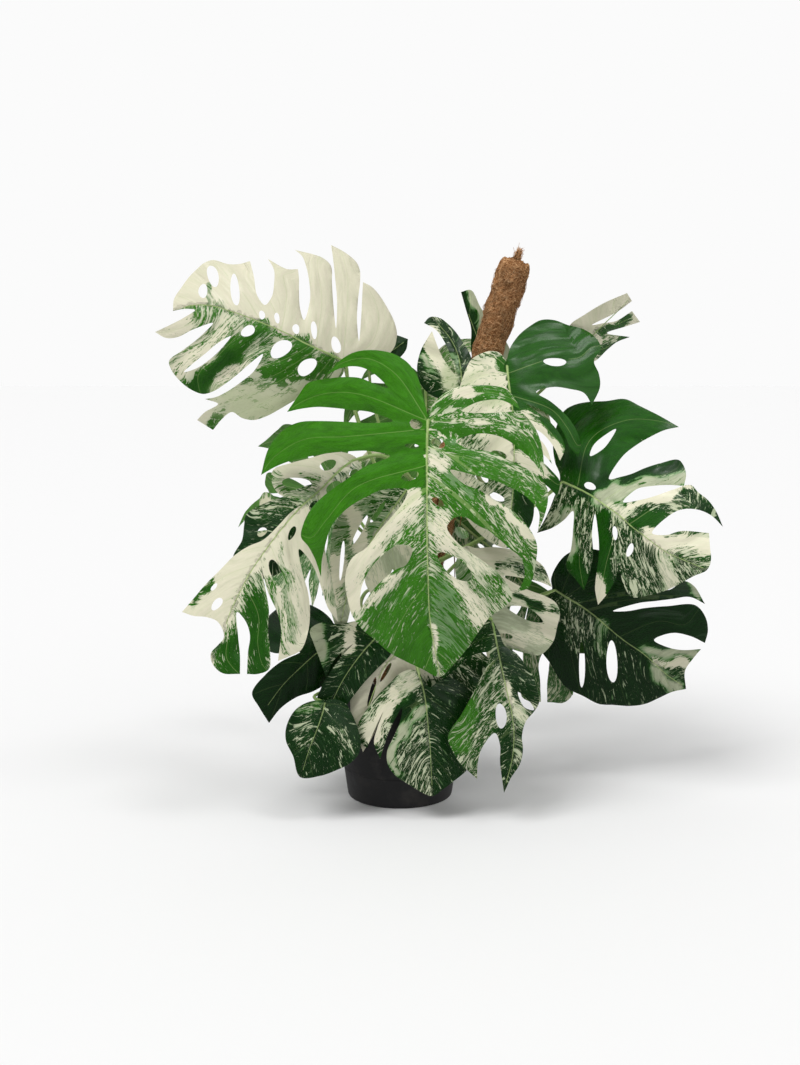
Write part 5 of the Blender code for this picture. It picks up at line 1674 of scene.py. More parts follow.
    def forward(self, points: Array, fields: dict[str, Array]) -> Array:
        """Find how far forward of the pot's axis the blade's middle layer lies.

        Args:
            points: places on the picture plane, one a row.
            fields: what the places measure against the midrib, veins and edge.

        Returns:
            The distance forward at each place.
        """
        drape = self.plan.drape
        base = np.array(self.plan.midrib[0])
        run = np.array(self.plan.midrib[-1]) - base
        offset = points - base
        along = offset @ run / (run @ run)
        across = (run[0] * offset[:, 1] - run[1] * offset[:, 0]) / (run @ run)
        halves = np.abs(across) * 2.0
        main = (
            drape.base
            + (drape.tip - drape.base) * along
            + drape.arch * np.sin(math.pi * np.clip(along, -0.5, 1.2))
            + np.where(across > 0.0, drape.left, drape.right) * halves
            + drape.cup * halves ** 2
        )
        rib_gap, vein_gap = fields["rib_gap"], fields["vein_gap"]
        away = np.clip(rib_gap / self.rib_stays, 0.0, 1.0)
        arched = self.droop * np.clip(vein_gap / self.droop_at, 0.0, 1.0) ** 2
        deepest = self.valley * (1.0 + 1.4 * np.exp(-rib_gap / self.deep_valley))
        valley = deepest * np.exp(-(vein_gap / self.valley_width) ** 2)
        groove = 1.5 * self.valley * np.exp(-(rib_gap / self.groove_width) ** 2)
        phase = fields["along"] / self.ripple_along + fields["across"] / self.ripple_across
        wave = self.ripple * np.sin(phase + self.seed)
        free = np.clip(1.0 - fields["edge_gap"] / self.free_edge, 0.0, 1.0)
        tilt = self.tilt * PLANE_UNIT * fields["tilt"]
        return main - groove + away * (wave * free + tilt - arched - valley)

    def hung(self, points: Array, forward: Array) -> Array:
        """Carry places of the leaf to where it hangs.

        Args:
            points: places on the picture plane, one a row.
            forward: how far in front of the pot's axis each one lies.

        Returns:
            The places in the room, one a row.
        """
        start = np.array(self.plan.midrib[0])
        placed = start + (points - start) * self.plan.grow + np.array(self.plan.shift)
        return sight_places(placed, forward, self.plan.turn)

    @staticmethod
    def store(item: bpy.types.Object, name: str, values: Array) -> None:
        """Keep three numbers for each vertex under a name, for the finish."""
        layer = item.data.attributes.new(name, "FLOAT_VECTOR", "POINT")
        layer.data.foreach_set("vector", values.ravel())

    def blade(self) -> None:
        """Build the blade."""
        points, triangles = self.mesh_points()
        fields = self.fields(points)
        middle = self.forward(points, fields)
        front = self.hung(points, middle + self.blade_half)
        back = self.hung(points, middle - self.blade_half)
        count = len(points)
        first, second, third = front[list(triangles[0])]
        flips = float(np.cross(second - first, third - first) @ (front[0] - back[0])) < 0.0
        upper = [face[::-1] if flips else face for face in triangles]
        under = [tuple(count + corner for corner in face[::-1]) for face in upper]
        uses = {}
        for face in upper:
            for start, end in zip(face, face[1:] + face[:1]):
                if uses.pop((end, start), None) is None:
                    uses[(start, end)] = True
        rim = [(end, start, count + start, count + end) for start, end in uses]
        skin = Skin()
        skin.add(front, upper)
        skin.add(back, [])
        skin.faces.extend(under + rim)
        skin.finishes.extend([1] * len(under) + [0] * len(rim))
        item = skin.piece(f"{self.plan.name}_blade", self.finishes, self.plan.name)
        tones = self.tones(points, fields["side"])
        # The midrib and the side veins are drawn narrower towards their tips
        rib_narrows = (1.0 + 2.2 * fields["rib_run"] / self.rib_length) / self.stoutness ** 2
        vein_narrows = 1.0 + 1.2 * np.clip(fields["along"] / self.vein_narrows_over, 0.0, 1.5)
        rib_gap = fields["rib_gap"] * PLANE_UNIT * rib_narrows
        vein_gap = fields["vein_gap"] * PLANE_UNIT * vein_narrows
        # More sage lies beside the cream flecks where cream and green are mixed half and half
        cream = tones[:, 0]
        halo = 0.2 + 0.34 * np.clip(2.0 * np.minimum(cream, 1.0 - cream), 0.0, 1.0)
        blank = np.zeros(count)
        for name, columns in (
            ("flow", (fields["across"] * PLANE_UNIT, fields["along"] * PLANE_UNIT, fields["side"])),
            ("levels", (fleck_level(cream), fleck_level(tones[:, 1]), tones[:, 2])),
            ("lines", (rib_gap, vein_gap, blank)),
            # The leaf's painted shade is kept under extra, between the pale green share and the sage beside
            # the flecks
            ("extra", (tones[:, 3], blank + self.look.painted_shade, halo)),
        ):
            values = np.column_stack(columns) + (self.seed if name == "flow" else 0.0)
            self.store(item, name, np.vstack((values, values)))

    def petiole_route(self) -> Array:
        """Return the petiole's route from the stem's surface to the blade.

        Returns:
            The route's places, one a row.
        """
        stem = ClimbingStem()
        past = np.array(self.plan.around).reshape(-1, 3)
        named = np.array(self.plan.petiole)
        points = list(sight_places(past[:, :2], past[:, 2])) + list(self.hung(named[:, :2], named[:, 2]))
        base = self.midrib[:1]
        join = self.hung(base, self.forward(base, self.fields(base)) - 0.0022)[0]
        centre = stem.place(self.plan.leaves_stem)
        lean = pole_lean()
        outward = points[0] - centre
        outward = unit(outward - lean * (lean @ outward))
        radius = stem.radius_at(self.plan.leaves_stem)
        start = centre + outward * 0.5 * radius
        second = centre + outward * (radius + 0.014) + lean * 0.012
        return smooth_line([start, second] + points + [join], 0.008)

    def stalk(self) -> None:
        """Build the petiole with its sheath and knee, and the rib that runs on under the blade."""
        route = self.petiole_route()
        share = np.linspace(0.0, 1.0, len(route))
        radii = self.petiole_radius + (self.petiole_end_radius - self.petiole_radius) * share
        run = share * runs_along(route)[-1]
        left = run[-1] - run
        sheath = self.sheath_swell * np.exp(-(run / self.sheath_length) ** 2)
        knee = self.knee_swell * np.exp(-((left - self.knee_at) / self.knee_length) ** 2)
        radii = self.stoutness * radii * (1.0 + sheath + knee)
        rib_points = self.midrib[:-1]
        inside = is_inside(rib_points, self.loops) & (edge_gaps(rib_points, self.loops) > 0.6)
        rib_points = rib_points[inside]
        rib_share = np.linspace(0.0, 1.0, len(rib_points))
        rib_radii = self.stoutness * self.petiole_end_radius * (0.95 - 0.78 * rib_share ** 0.7)
        depth = self.forward(rib_points, self.fields(rib_points)) - self.blade_half - 0.55 * rib_radii
        rib = self.hung(rib_points, depth)
        skin = Skin()
        flows = []
        for line, sizes, runs, sides, waver in (
            (route, radii, run, 14, 0.05), (rib, rib_radii, runs_along(rib), 10, 0.0),
        ):
            skin.add(*sweep(line, sizes, sides, waver))
            angles = np.tile(full_turn(sides), len(runs))
            flow = (0.004 * np.cos(angles), np.repeat(runs, sides), np.sin(angles) + sides)
            flows.append(np.column_stack(flow) + self.seed)
        item = skin.piece(f"{self.plan.name}_petiole", [self.petiole_finish], self.plan.name)
        self.store(item, "flow", np.vstack(flows))

    def build(self) -> None:
        """Build the leaf's pieces."""
        self.blade()
        self.stalk()


@dataclass(frozen=True)
class MottledFinish(Finish):
    """A ground colour with soft patches of another, and a fine grain. Noise runs from about 0.3 to 0.7."""
    ground: str
    patch: str
    patch_mm: float
    patch_from: float
    patch_full: float
    patch_cover: float
    smooth: float
    rough: float
    grain_mm: float
    grain_strength: float
    grain_depth_mm: float

    def inputs(self, tree: Tree) -> Inputs:
        """Return what goes into the shader, by input name.

        Args:
            tree: the node tree to add to.

        Returns:
            The inputs: mottled colour and roughness, and the grain's relief.
        """
        place = add_node(tree, "NewGeometry", out="Position")
        patches = add_node(tree, "TexNoise", {
            "Vector": place, "Scale": 1000.0 / self.patch_mm, "Detail": 6.0, "Roughness": 0.68,
        })
        grain = add_node(tree, "TexNoise", {"Vector": place, "Scale": 1000.0 / self.grain_mm, "Detail": 4.0})
        cover = add_node(tree, "MapRange", {
            0: patches, 1: self.patch_from, 2: self.patch_full, 4: self.patch_cover,
        })
        return {
            "Base Color": self.layers(tree, self.ground, ((cover, self.patch),)),
            "Roughness": add_node(tree, "MapRange", {
                0: patches, 1: 0.35, 2: 0.7, 3: self.smooth, 4: self.rough,
            }),
            "Normal": add_node(tree, "Bump", {
                "Strength": self.grain_strength, "Distance": self.grain_depth_mm / 1000.0, "Height": grain,
            }),
        }


@dataclass(frozen=True)
class StemBark(MottledFinish):
    """Climbing stem's rind: green turning to brown cork, ringed by leaf scars, without gloss."""
    name: str = "stem_bark"
    ground: str = "#5b7433"
    patch: str = "#6d5a3a"
    patch_mm: float = 18.0
    patch_from: float = 0.42
    patch_full: float = 0.60
    patch_cover: float = 1.0
    smooth: float = 0.6
    rough: float = 0.6
    grain_mm: float = 12.0
    grain_strength: float = 0.6
    grain_depth_mm: float = 1.0


@dataclass(frozen=True)
class PotPlastic(MottledFinish):
    """Blow-moulded black polypropylene: a slightly grained skin with scuffs and a little dust."""
    name: str = "pot_plastic"
    ground: str = "#1b1b1c"
    patch: str = "#4a4641"
    patch_mm: float = 40.0
    patch_from: float = 0.50
    patch_full: float = 0.75
    patch_cover: float = 0.5
    smooth: float = 0.38
    rough: float = 0.62
    grain_mm: float = 1.5
    grain_strength: float = 0.25
    grain_depth_mm: float = 0.4


@dataclass(frozen=True)
class PipePlastic(MottledFinish):
    """Extruded grey PVC pipe: smooth, with faint draw marks."""
    name: str = "pipe_plastic"
    ground: str = "#b9b9b4"
    patch: str = "#adada8"
    patch_mm: float = 30.0
    patch_from: float = 0.4
    patch_full: float = 0.6
    patch_cover: float = 1.0
    smooth: float = 0.40
    rough: float = 0.55
    grain_mm: float = 3.0
    grain_strength: float = 0.1
    grain_depth_mm: float = 0.2


@dataclass
class ClimbingStem:
    """The plant's stem on the viewer's side of the pole, with its joints and clinging roots."""
    radius: float = 0.013
    top_radius: float = 0.009
    gap_to_pole: float = 0.004
    pole_radius: float = 0.041
    foot: float = 0.175
    head: float = 0.860
    slimness: float = 0.94
    joint_swell: float = 0.0016
    joint_length: float = 0.004
    joint_under_leaf: float = 0.006
    root_radius: float = 0.0022
    root_under_leaf: float = 0.02
    root_step: float = 0.006

    def place(self, height: float) -> Array:
        """Find the place on the stem's axis at a height.

        Args:
            height: the height on the pole's axis beside it.

        Returns:
            The place.
        """
        lean = pole_lean()
        towards = np.array((0.0, -1.0, 0.0))
        beside = unit(towards - lean * (lean @ towards))
        return pole_place(height) + beside * (self.pole_radius + self.radius + self.gap_to_pole)

    def radius_at(self, height: float) -> float:
        """Return the stem's radius at a height."""
        return float(np.interp(height, (self.foot, self.head), (self.radius, self.top_radius)))

    def build(self, joints: list[float], finish: Material, root_finish: Material) -> None:
        """Build the stem and its roots.

        Args:
            joints: the heights at which the leaves leave the stem.
            finish: the stem's material.
            root_finish: the roots' material.
        """
        heights = np.linspace(self.foot, self.head, 150)
        radii = np.array([self.radius_at(height) for height in heights]) * self.slimness
        for joint in joints:
            gaps = heights - joint + self.joint_under_leaf
            radii += self.joint_swell * np.exp(-(gaps / self.joint_length) ** 2)
        radii = np.minimum(radii, self.radius + self.joint_swell)
        skin = Skin()
        skin.add(*sweep(np.array([self.place(height) for height in heights]), radii, 28, 0.03))
        skin.piece("stem_rind", [finish], "stem")
        roots = Skin()
        random = np.random.default_rng(5)
        across = unit(np.cross(pole_lean(), (0.0, -1.0, 0.0))) * self.radius
        for number, joint in enumerate(sorted(joints)):
            aside = across if number % 2 else -across
            drop = random.uniform(0.04, 0.13)
            swing = random.normal(0.0, 0.35, 3)
            # A root reaches round the pole: shares of the stem's radius aside, metres back, share of its drop
            line = [
                self.place(joint - self.root_under_leaf) + aside * out + np.array((0.0, back, -down * drop))
                for out, back, down in (
                    (0.6, 0.0, 0.0), (1.7 + swing[0], 0.012, 0.2),
                    (2.5 + swing[1], 0.024, 0.6), (2.6 + swing[2], 0.034, 1.0),
                )
            ]
            root = smooth_line(line, self.root_step)
            radii = self.root_radius * random.uniform(0.7, 1.1) * np.linspace(1.0, 0.5, len(root))
            roots.add(*sweep(root, radii, 8))
        roots.piece("stem_roots", [root_finish], "stem")


@dataclass(frozen=True)
class CoirFibre(Finish):
    """Coconut coir: coarse brown husk fibre, 0.2 to 0.4 mm thick, felted into a sleeve with latex.

    The tangle scatters light, so it has no gloss. The gaps between the fibres are painted dark, as painted
    shade.
    Fibres are drawn about 1.5 mm thick, because thinner ones don't show.
    """
    name: str = "coir_fibre"
    light: str = "#d3ab80"
    middle: str = "#9a6c45"
    dark: str = "#4c2e17"
    fibre_mm: float = 1.5
    strand_mm: float = 16.0
    patch_mm: float = 22.22
    patch_swing: float = 0.25
    # Where the tangle falls under these levels, the gaps between the fibres take the dark colour, as painted
    # shade
    gap_from: float = 0.44
    gap_to: float = 0.62
    light_from: float = 0.58
    light_full: float = 0.72
    relief_mm: float = 2.0
    roughness: float = 0.95
    gloss: float = 0.1

    def inputs(self, tree: Tree) -> Inputs:
        """Return what goes into the shader, by input name.

        Args:
            tree: the node tree to add to.

        Returns:
            The inputs: the colour and relief of three crossing layers of fibres.
        """
        place = add_node(tree, "NewGeometry", out="Position")
        stretch = (1000.0 / self.strand_mm, 1000.0 / self.strand_mm, 1000.0 / self.fibre_mm)
        layers = []
        for turn, layer in ((0.35, 1.0), (-0.5, 4.0), (1.1, 7.0)):
            turned_place = add_node(tree, "Mapping", {
                "Vector": place, "Location": (layer, layer, layer),
                "Rotation": (0.2 * turn, turn, 0.4 * turn),
            }, vector_type="POINT")
            drawn_out = add_node(tree, "VectorMath", {0: turned_place, 1: stretch}, operation="MULTIPLY")
            layers.append(add_node(tree, "TexNoise", {
                "Vector": drawn_out, "Scale": 1.0, "Detail": 2.0, "Roughness": 0.5, "Distortion": 1.2,
            }))
        tangle = add_node(tree, "Math", {0: layers[0], 1: layers[1]}, operation="MAXIMUM")
        tangle = add_node(tree, "Math", {0: tangle, 1: layers[2]}, operation="MAXIMUM")
        patches = add_node(tree, "TexNoise", {
            "Vector": place, "Scale": 1000.0 / self.patch_mm, "Detail": 3.0, "Roughness": 0.6,
        })
        raised = add_node(tree, "MapRange", {0: tangle, 1: self.gap_from, 2: self.gap_to})
        bright = add_node(tree, "MapRange", {0: tangle, 1: self.light_from, 2: self.light_full})
        tone = add_node(tree, "MapRange", {
            0: patches, 1: 0.3, 2: 0.7, 3: 1.0 - self.patch_swing, 4: 1.0 + self.patch_swing,
        })
        # Painted shade: the gaps between the fibres keep the dark colour, under the middle and light fibres
        colour = self.layers(tree, self.dark, ((raised, self.middle), (bright, self.light)))
        return {
            "Base Color": add_node(tree, "VectorMath", {0: colour, "Scale": tone}, operation="SCALE"),
            "Roughness": self.roughness,
            "Specular IOR Level": self.gloss,
            "Normal": add_node(tree, "Bump", {
                "Strength": 1.0, "Distance": self.relief_mm / 1000.0, "Height": tangle,
            }),
        }


@dataclass
class CoirPole:
    """The leaning pole: a felted coir sleeve with loose strands and a tuft at its head."""
    radius: float = 0.041
    top_radius: float = 0.033
    waist: float = 0.003
    waist_at: float = 0.82
    waist_length: float = 0.05
    dome: float = 0.020
    lumps: float = 0.0045
    felt_sinks: float = 0.0012
    sides: int = 84
    rings: int = 240
    strands: int = 2600
    tuft_strands: int = 170
    strand_radius: float = 0.00055
    strand_step: float = 0.004
    long_strand: float = 0.052
    tuft_radius: float = 0.012
    tuft_pinch: float = 0.65
    tuft_lean: float = 0.004
    strand_bends: int = 6
    lift: float = 0.0006
    length: float = (POLE_HEAD - POLE_FOOT).length

    def placed(self, places: Array) -> Array:
        """Carry places from the sleeve's own axis to where the pole stands."""
        turn = np.array(Vector(pole_lean()).to_track_quat("Z", "Y").to_matrix())
        return places @ turn.T + np.array(POLE_FOOT)

    def surface(self, share: float, angle: float) -> Array:
        """Find a place on the sleeve's surface, along its own axis.

        Args:
            share: how far up the sleeve, from 0 to 1.
            angle: where round the sleeve, in radians.

        Returns:
            The place.
        """
        height = share * (self.length - self.dome)
        radius = self.radius + (self.top_radius - self.radius) * share
        radius -= self.waist * math.exp(-((share - self.waist_at) / self.waist_length) ** 2)
        # Lumps as big as a thumb, with finer ones on them
        spot = Vector((math.cos(angle) * 1.3, math.sin(angle) * 1.3, height * 34.0))
        finer = noise.noise(spot * 3.1)
        radius += self.lumps * noise.noise(spot) + 0.4 * self.lumps * finer - self.felt_sinks
        return np.array((radius * math.cos(angle), radius * math.sin(angle), height))

    def build(self, finish: Material, strand_finish: Material) -> None:
        """Build the sleeve, its strands and its tuft.

        Args:
            finish: the felted coir's material.
            strand_finish: the loose strands' material.
        """
        angles = full_turn(self.sides)
        rows = []
        for ring in range(self.rings + 1):
            rows.append([self.surface(ring / self.rings, angle) for angle in angles])
        rim = np.array(rows[-1])
        steps = np.arange(self.sides)
        # The head is gathered inwards in folds: how far out each ring lies, and how high
        for out, rise in (
            (0.97, 0.35), (0.90, 0.60), (0.78, 0.76), (0.64, 0.70), (0.50, 0.45), (0.36, 0.30), (0.12, 0.26),
        ):
            fold = 0.0022 * np.sin(steps * 0.52 + 4.0 * out) + 0.0016 * np.sin(steps * 1.9)
            height = self.length - self.dome * (1.0 - rise) + fold * rise
            rows.append(np.column_stack((rim[:, :2] * out, height)))
        skin = Skin()
        skin.add(self.placed(np.concatenate(rows)), ring_faces(len(rows), self.sides))
        skin.piece("coir_sleeve", [finish], "coir_pole", sharp_degrees=180.0)
        random = np.random.default_rng(7)
        skin = Skin()
        for _ in range(self.strands):
            self.add_fibre(skin, self.loose_strand(random), start=1.0, end=0.6)
        for number in range(self.tuft_strands):
            line = self.tuft_strand(random)
            # The first one is long and leans out to the right
            if number == 0:
                foot = line[0][2]
                line = [
                    (0.004 + 0.030 * step ** 0.8, -0.003, foot + self.long_strand * step)
                    for step in (0.0, 0.5, 1.0)
                ]
            self.add_fibre(skin, smooth_line(line, self.strand_step), start=1.1, end=0.7)
        skin.piece("coir_strands", [strand_finish], "coir_pole", sharp_degrees=180.0)

    def add_fibre(self, skin: Skin, route: Array, start: float, end: float) -> None:
        """Add a three-sided fibre.

        Args:
            skin: where it is gathered.
            route: its places along the sleeve's own axis, one a row.
            start: its thickness at the start, as a share of a strand's.
            end: its thickness at the end.
        """
        places, faces = sweep(route, self.strand_radius * np.linspace(start, end, len(route)), 3)
        skin.add(self.placed(places), faces)

    def loose_strand(self, random: np.random.Generator) -> Array:
        """Draw a strand that curls over the sleeve.

        Args:
            random: the source of random numbers.

        Returns:
            Its places, one a row.
        """
        share = random.uniform(0.12, 0.995)
        angle = random.uniform(0.0, 2.0 * math.pi)
        heading = random.normal(0.0, 0.6) + math.pi * random.integers(0, 2)
        turn = random.normal(0.0, 0.5)
        reach = random.uniform(0.004, 0.010)
        lift = abs(random.normal(0.0, 0.0016))
        line = []
        for step in range(self.strand_bends + 1):
            arch = lift * math.sin(math.pi * step / self.strand_bends)
            raised = 1.0 + (self.lift + arch) / self.top_radius
            line.append(self.surface(min(1.0, max(0.10, share)), angle) * (raised, raised, 1.0))
            share += reach * math.sin(heading) / self.length
            angle += reach * math.cos(heading) / self.radius
            heading += turn
        return np.array(line)

    def tuft_strand(self, random: np.random.Generator) -> list[Place]:
        """Draw a strand of the tuft, which is pinched together on its way up.

        Args:
            random: the source of random numbers.

        Returns:
            Four of its places.
        """
        angle = random.uniform(0.0, 2.0 * math.pi)
        out = self.tuft_radius * math.sqrt(random.uniform())
        rise = random.uniform(0.012, 0.038)
        line = []
        for step in (0.0, 0.35, 0.7, 1.0):
            radius = out * (1.0 - self.tuft_pinch * math.sin(0.5 * math.pi * step))
            swing = random.normal(0.0, 0.0012 + 0.003 * step, 2)
            line.append((
                radius * math.cos(angle) + swing[0] - self.tuft_lean * step,
                radius * math.sin(angle) + swing[1],
                self.length - 0.6 * self.dome + rise * step,
            ))
        return line


@dataclass
class NurseryPot:
    """The round nursery pot: tapered wall with a rolled rim, a stepped foot and drain holes."""
    height: float = 0.270
    top_radius: float = 0.148
    base_radius: float = 0.112
    wall: float = 0.003
    rim_depth: float = 0.026
    rim_proud: float = 0.004
    floor: float = 0.005
    foot_bevel: float = 0.004
    bands: tuple[float, float, float] = (0.060, 0.150, 0.200)
    band_proud: float = 0.0008
    drain_radius: float = 0.007
    drain_circle: float = 0.075
    drain_count: int = 6
    drain_turn: float = math.radians(5.6)
    drain_reach: float = 0.02
    sides: int = 120

    def outer(self, height: float) -> float:
        """Return the wall's outer radius at a height."""
        return self.base_radius + (self.top_radius - self.base_radius) * height / self.height

    def profile(self) -> list[Place]:
        """Draw the wall's profile, from the base round to the floor inside.

        Returns:
            The radius and height of its places.
        """
        rim_foot = self.height - self.rim_depth
        rim = self.top_radius + self.rim_proud
        inside = self.top_radius - self.wall
        # The stepped foot comes first, then the bands on the wall, the rolled rim and the inside
        points = [
            (0.060, 0.0015), (0.061, 0.0004), (0.062, 0.0), (0.088, 0.0), (0.089, 0.0004), (0.090, 0.0015),
            (0.098, 0.0015), (0.099, 0.0), (self.base_radius - self.foot_bevel, 0.0),
            (self.base_radius - 0.001, 0.001), (self.base_radius, self.foot_bevel),
        ]
        for band in self.bands:
            for rise, proud in ((0.0, 0.0), (0.001, self.band_proud), (0.003, self.band_proud), (0.004, 0.0)):
                points.append((self.outer(band + rise) + proud, band + rise))
        return points + [
            (self.outer(rim_foot), rim_foot - 0.001), (self.outer(rim_foot) + 0.001, rim_foot),
            (rim - 0.0012, rim_foot), (rim, rim_foot + 0.0012), (rim, self.height - 0.006),
            (rim - 0.0006, self.height - 0.0018), (rim - 0.0022, self.height),
            (inside + 0.0015, self.height), (inside, self.height - 0.002),
            (self.outer(0.12) - self.wall, 0.12), (self.base_radius - self.wall, self.floor),
        ]

    def build(self, finish: Material) -> None:
        """Build the pot.

        Args:
            finish: the pot's material.
        """
        skin = Skin()
        skin.add(*turned(self.profile(), self.sides))
        pot = skin.piece("nursery_pot", [finish], "pot", sharp_degrees=35.0)
        cutter = Skin()
        for angle in full_turn(self.drain_count) + self.drain_turn:
            middle = np.array((math.cos(angle), math.sin(angle), 0.0)) * self.drain_circle
            ends = np.array((middle - (0.0, 0.0, self.drain_reach), middle + (0.0, 0.0, self.drain_reach)))
            cutter.add(*sweep(ends, (self.drain_radius, self.drain_radius), 24))
        tool = cutter.item("drain_cutter", [finish])
        boolean = pot.modifiers.new("drains", "BOOLEAN")
        boolean.operation = "DIFFERENCE"
        boolean.solver = "EXACT"
        boolean.object = tool
        bpy.context.view_layer.update()
        cut = bpy.data.meshes.new_from_object(pot.evaluated_get(bpy.context.evaluated_depsgraph_get()))
        pot.modifiers.clear()
        pot.data = cut
        bpy.data.objects.remove(tool)


@dataclass(frozen=True)
class PottingMix(Finish):
    """Moist aroid mix: peat with bark chips and a little perlite, dark, rough and without gloss."""
    name: str = "potting_mix"
    peat: str = "#2b1c12"
    bark: str = "#5a3d26"
    perlite: str = "#d6d1c4"
    crumb_mm: float = 6.0
    crumb_relief_mm: float = 3.0
    crumb_strength: float = 0.9
    perlite_share: float = 0.05
    roughness: float = 0.95

    def inputs(self, tree: Tree) -> Inputs:
        """Return what goes into the shader, by input name.

        Args:
            tree: the node tree to add to.

        Returns:
            The inputs: a colour for each crumb, and the crumbs' relief.
        """
        place = add_node(tree, "NewGeometry", out="Position")
        crumbs = add_node(tree, "TexVoronoi", {"Vector": place, "Scale": 1000.0 / self.crumb_mm}).node.outputs
        cell = add_node(tree, "SeparateXYZ", {0: crumbs["Color"]}).node.outputs
        bark = add_node(tree, "MapRange", {0: cell[0], 1: 0.3, 2: 0.9})
        perlite = add_node(tree, "Math", {0: cell[1], 1: 1.0 - self.perlite_share}, operation="GREATER_THAN")
        height = add_node(tree, "Math", {0: crumbs["Distance"], 1: -1.0}, operation="MULTIPLY")
        return {
            "Base Color": self.layers(tree, self.peat, ((bark, self.bark), (perlite, self.perlite))),
            "Roughness": self.roughness,
            "Normal": add_node(tree, "Bump", {
                "Strength": self.crumb_strength, "Distance": self.crumb_relief_mm / 1000.0, "Height": height,
            }),
        }


@dataclass
class PottingSoil:
    """The mix in the pot, lumpy on top, with loose bark chips."""
    pot: NurseryPot
    below_rim: float = 0.022
    mound: float = 0.006
    lump_height: float = 0.002
    crumb_height: float = 0.001
    chips: int = 260
    chip_half: tuple[float, float, float] = (0.006, 0.0036, 0.0015)
    chip_rise: float = 0.0008

    def top(self, x: float, y: float) -> float:
        """Find the height of the mix at a place.

        Args:
            x: the place's distance to the right of the pot's axis.
            y: its distance behind the axis.

        Returns:
            The height above the floor.
        """
        radius = math.hypot(x, y) / (self.pot.top_radius - self.pot.wall)
        lump = noise.noise(Vector((x * 45.0, y * 45.0, 0.0))) * self.lump_height
        lump += noise.noise(Vector((x * 130.0, y * 130.0, 3.0))) * self.crumb_height
        return self.pot.height - self.below_rim + self.mound * (1.0 - min(1.0, radius) ** 2) + lump - 0.001

    def build(self, finish: Material) -> None:
        """Build the mix and its chips.

        Args:
            finish: the mix's material.
        """
        level = self.pot.height - self.below_rim
        outer = self.pot.outer(level) - self.pot.wall - 0.0006
        foot = (self.pot.base_radius - self.pot.wall - 0.0008, self.pot.floor + 0.0003)
        places, faces = turned([foot] + [(outer * share, level) for share in np.linspace(1.0, 0.01, 40)], 96)
        for place in places:
            if place[2] == level:
                place[2] = self.top(place[0], place[1])
        skin = Skin()
        skin.add(places, faces)
        random = np.random.default_rng(11)
        signs = np.array([(x, y, z) for z in (-1, 1) for x, y in ((-1, -1), (1, -1), (1, 1), (-1, 1))])
        for _ in range(self.chips):
            radius = (outer - 0.006) * math.sqrt(random.uniform())
            angle = random.uniform(0.0, 2.0 * math.pi)
            corners = signs * self.chip_half * random.uniform(0.35, 0.75, (8, 3))
            heading = Matrix.Rotation(random.uniform(0.0, 6.3), 3, "Z")
            turn = heading @ Matrix.Rotation(random.normal(0.0, 0.35), 3, "X")
            x, y = radius * math.cos(angle), radius * math.sin(angle)
            spot = (x, y, self.top(x, y) + self.chip_rise)
            skin.add(corners @ np.array(turn).T + spot, ring_faces(2, 4))
        skin.piece("potting_mix", [finish], "soil", sharp_degrees=30.0)


@dataclass(frozen=True)
class StudioPaper(Finish):
    """Matt white background paper, which gives an even floor with soft shadows."""
    name: str = "studio_paper"
    white: str = "#ebebeb"
    roughness: float = 0.9
    gloss: float = 0.1

    def inputs(self, tree: Tree) -> Inputs:
        """Return what goes into the shader, by input name.

        Args:
            tree: the node tree, to which a plain finish adds nothing.

        Returns:
            The inputs: a plain colour, roughness and gloss.
        """
        return {
            "Base Color": linear(self.white), "Roughness": self.roughness, "Specular IOR Level": self.gloss,
        }


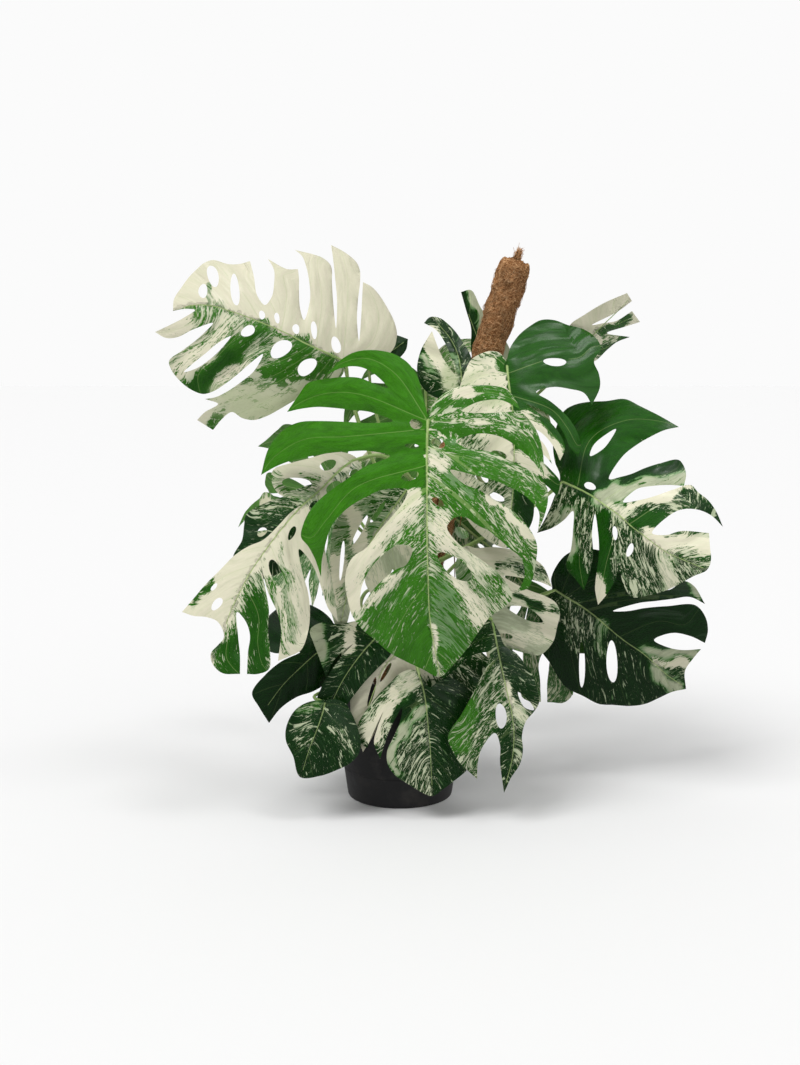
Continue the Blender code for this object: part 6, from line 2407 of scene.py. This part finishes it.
@dataclass
class Studio:
    """The floor, the soft lights and the camera."""
    floor_size: float = 400.0
    backdrop: float = 0.965
    sky_low: float = 0.22
    sky_high: float = 0.66
    sensor_mm: float = 24.0

    def build(self) -> None:
        """Build the floor, the lights, the world and the camera."""
        corners = ((-0.5, -0.5, 0.0), (0.5, -0.5, 0.0), (0.5, 0.5, 0.0), (-0.5, 0.5, 0.0))
        ground = Skin()
        ground.add(np.array(corners) * self.floor_size, [(0, 1, 2, 3)])
        floor = ground.item("studio_floor", [StudioPaper().dress()])
        # Neither the floor nor the key light is mirrored in the leaves, where they would be a grey veil
        floor.visible_glossy = False
        key = self.light("key_light", towards=(-0.62, -0.80, 1.25), spread=26.0, strength=1.90)
        key.visible_glossy = False
        self.light("side_light", towards=(0.45, -0.45, 1.00), spread=16.0, strength=0.50)
        self.light("fill_light", towards=(1.0, -0.9, 0.7), spread=60.0, strength=0.30)
        self.sky()
        bpy.context.scene.view_settings.view_transform = "Standard"
        self.camera()

    def light(
        self, name: str, towards: tuple[float, float, float], spread: float, strength: float
    ) -> bpy.types.Object:
        """Add a broad, far light.

        Args:
            name: the light's name.
            towards: the direction from the plant to the light.
            spread: how many degrees the light fills, which softens its shadows.
            strength: its strength in watts on each square metre.

        Returns:
            The light.
        """
        lamp = bpy.data.lights.new(name, "SUN")
        lamp.angle = math.radians(spread)
        lamp.energy = strength
        item = bpy.data.objects.new(name, lamp)
        item.rotation_euler = Vector(towards).to_track_quat("Z", "Y").to_euler()
        bpy.context.scene.collection.objects.link(item)
        return item

    def sky(self) -> None:
        """Light the studio softly from above, before a plain backdrop as bright as the floor."""
        world = bpy.data.worlds.new("studio_world")
        world.use_nodes = True
        bpy.context.scene.world = world
        tree = world.node_tree
        direction = add_node(tree, "TexCoord", out="Generated")
        height = add_node(tree, "SeparateXYZ", {0: direction}, 2)
        light = add_node(
            tree, "MapRange", {0: height, 1: 0.1, 2: 0.9, 3: self.sky_low, 4: self.sky_high},
            interpolation_type="SMOOTHSTEP",
        )
        is_seen = add_node(tree, "LightPath", out="Is Camera Ray")
        strength = add_node(tree, "Mix", {0: is_seen, 2: light, 3: self.backdrop})
        feed(tree.nodes["Background"], {"Color": linear("#ffffff"), "Strength": strength})

    def camera(self) -> None:
        """Stand the camera where the picture plane is seen at its own size."""
        ahead = Vector((0.0, math.cos(VIEW_TILT), -math.sin(VIEW_TILT)))
        height = (PLANE_FLOOR - PLANE_CENTRE[1]) * PLANE_UNIT
        lens = bpy.data.cameras.new("camera")
        lens.sensor_fit = "VERTICAL"
        lens.sensor_height = self.sensor_mm
        lens.lens = self.sensor_mm * VIEW_DISTANCE / (PLANE_SIZE[1] * PLANE_UNIT)
        item = bpy.data.objects.new("camera", lens)
        item.location = Vector((0.0, 0.0, height)) - ahead * VIEW_DISTANCE
        item.rotation_euler = ahead.to_track_quat("-Z", "Y").to_euler()
        bpy.context.scene.collection.objects.link(item)
        bpy.context.scene.camera = item


def main() -> None:
    """Build the plant, its pole, its pot and the studio, and note the sizes."""
    logging.basicConfig(level=logging.INFO)
    pot = NurseryPot()
    pot.build(PotPlastic().dress())
    PottingSoil(pot).build(PottingMix().dress())
    coir = CoirFibre().dress()
    # The loose strands take the coir finish with lighter colours and less painted shade in their gaps
    CoirPole().build(coir, CoirFibre("coir_strand", "#e0bd94", "#b98a5e", "#7d5836", gap_from=0.2).dress())
    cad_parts["pole_core"].data.materials[0] = PipePlastic().dress()
    plans = LEAVES + REAR_LEAVES
    ClimbingStem().build([plan.leaves_stem for plan in plans], StemBark().dress(), coir)
    blade_finishes = [LeafUpperSide().dress(), LeafUnderside().dress()]
    petiole_finish = PetioleSkin().dress()
    for plan in plans:
        MonsteraLeaf(plan, LOOKS[plan.name], blade_finishes, petiole_finish).build()
    Studio().build()
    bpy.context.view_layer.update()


if __name__ == "__main__":
    main()
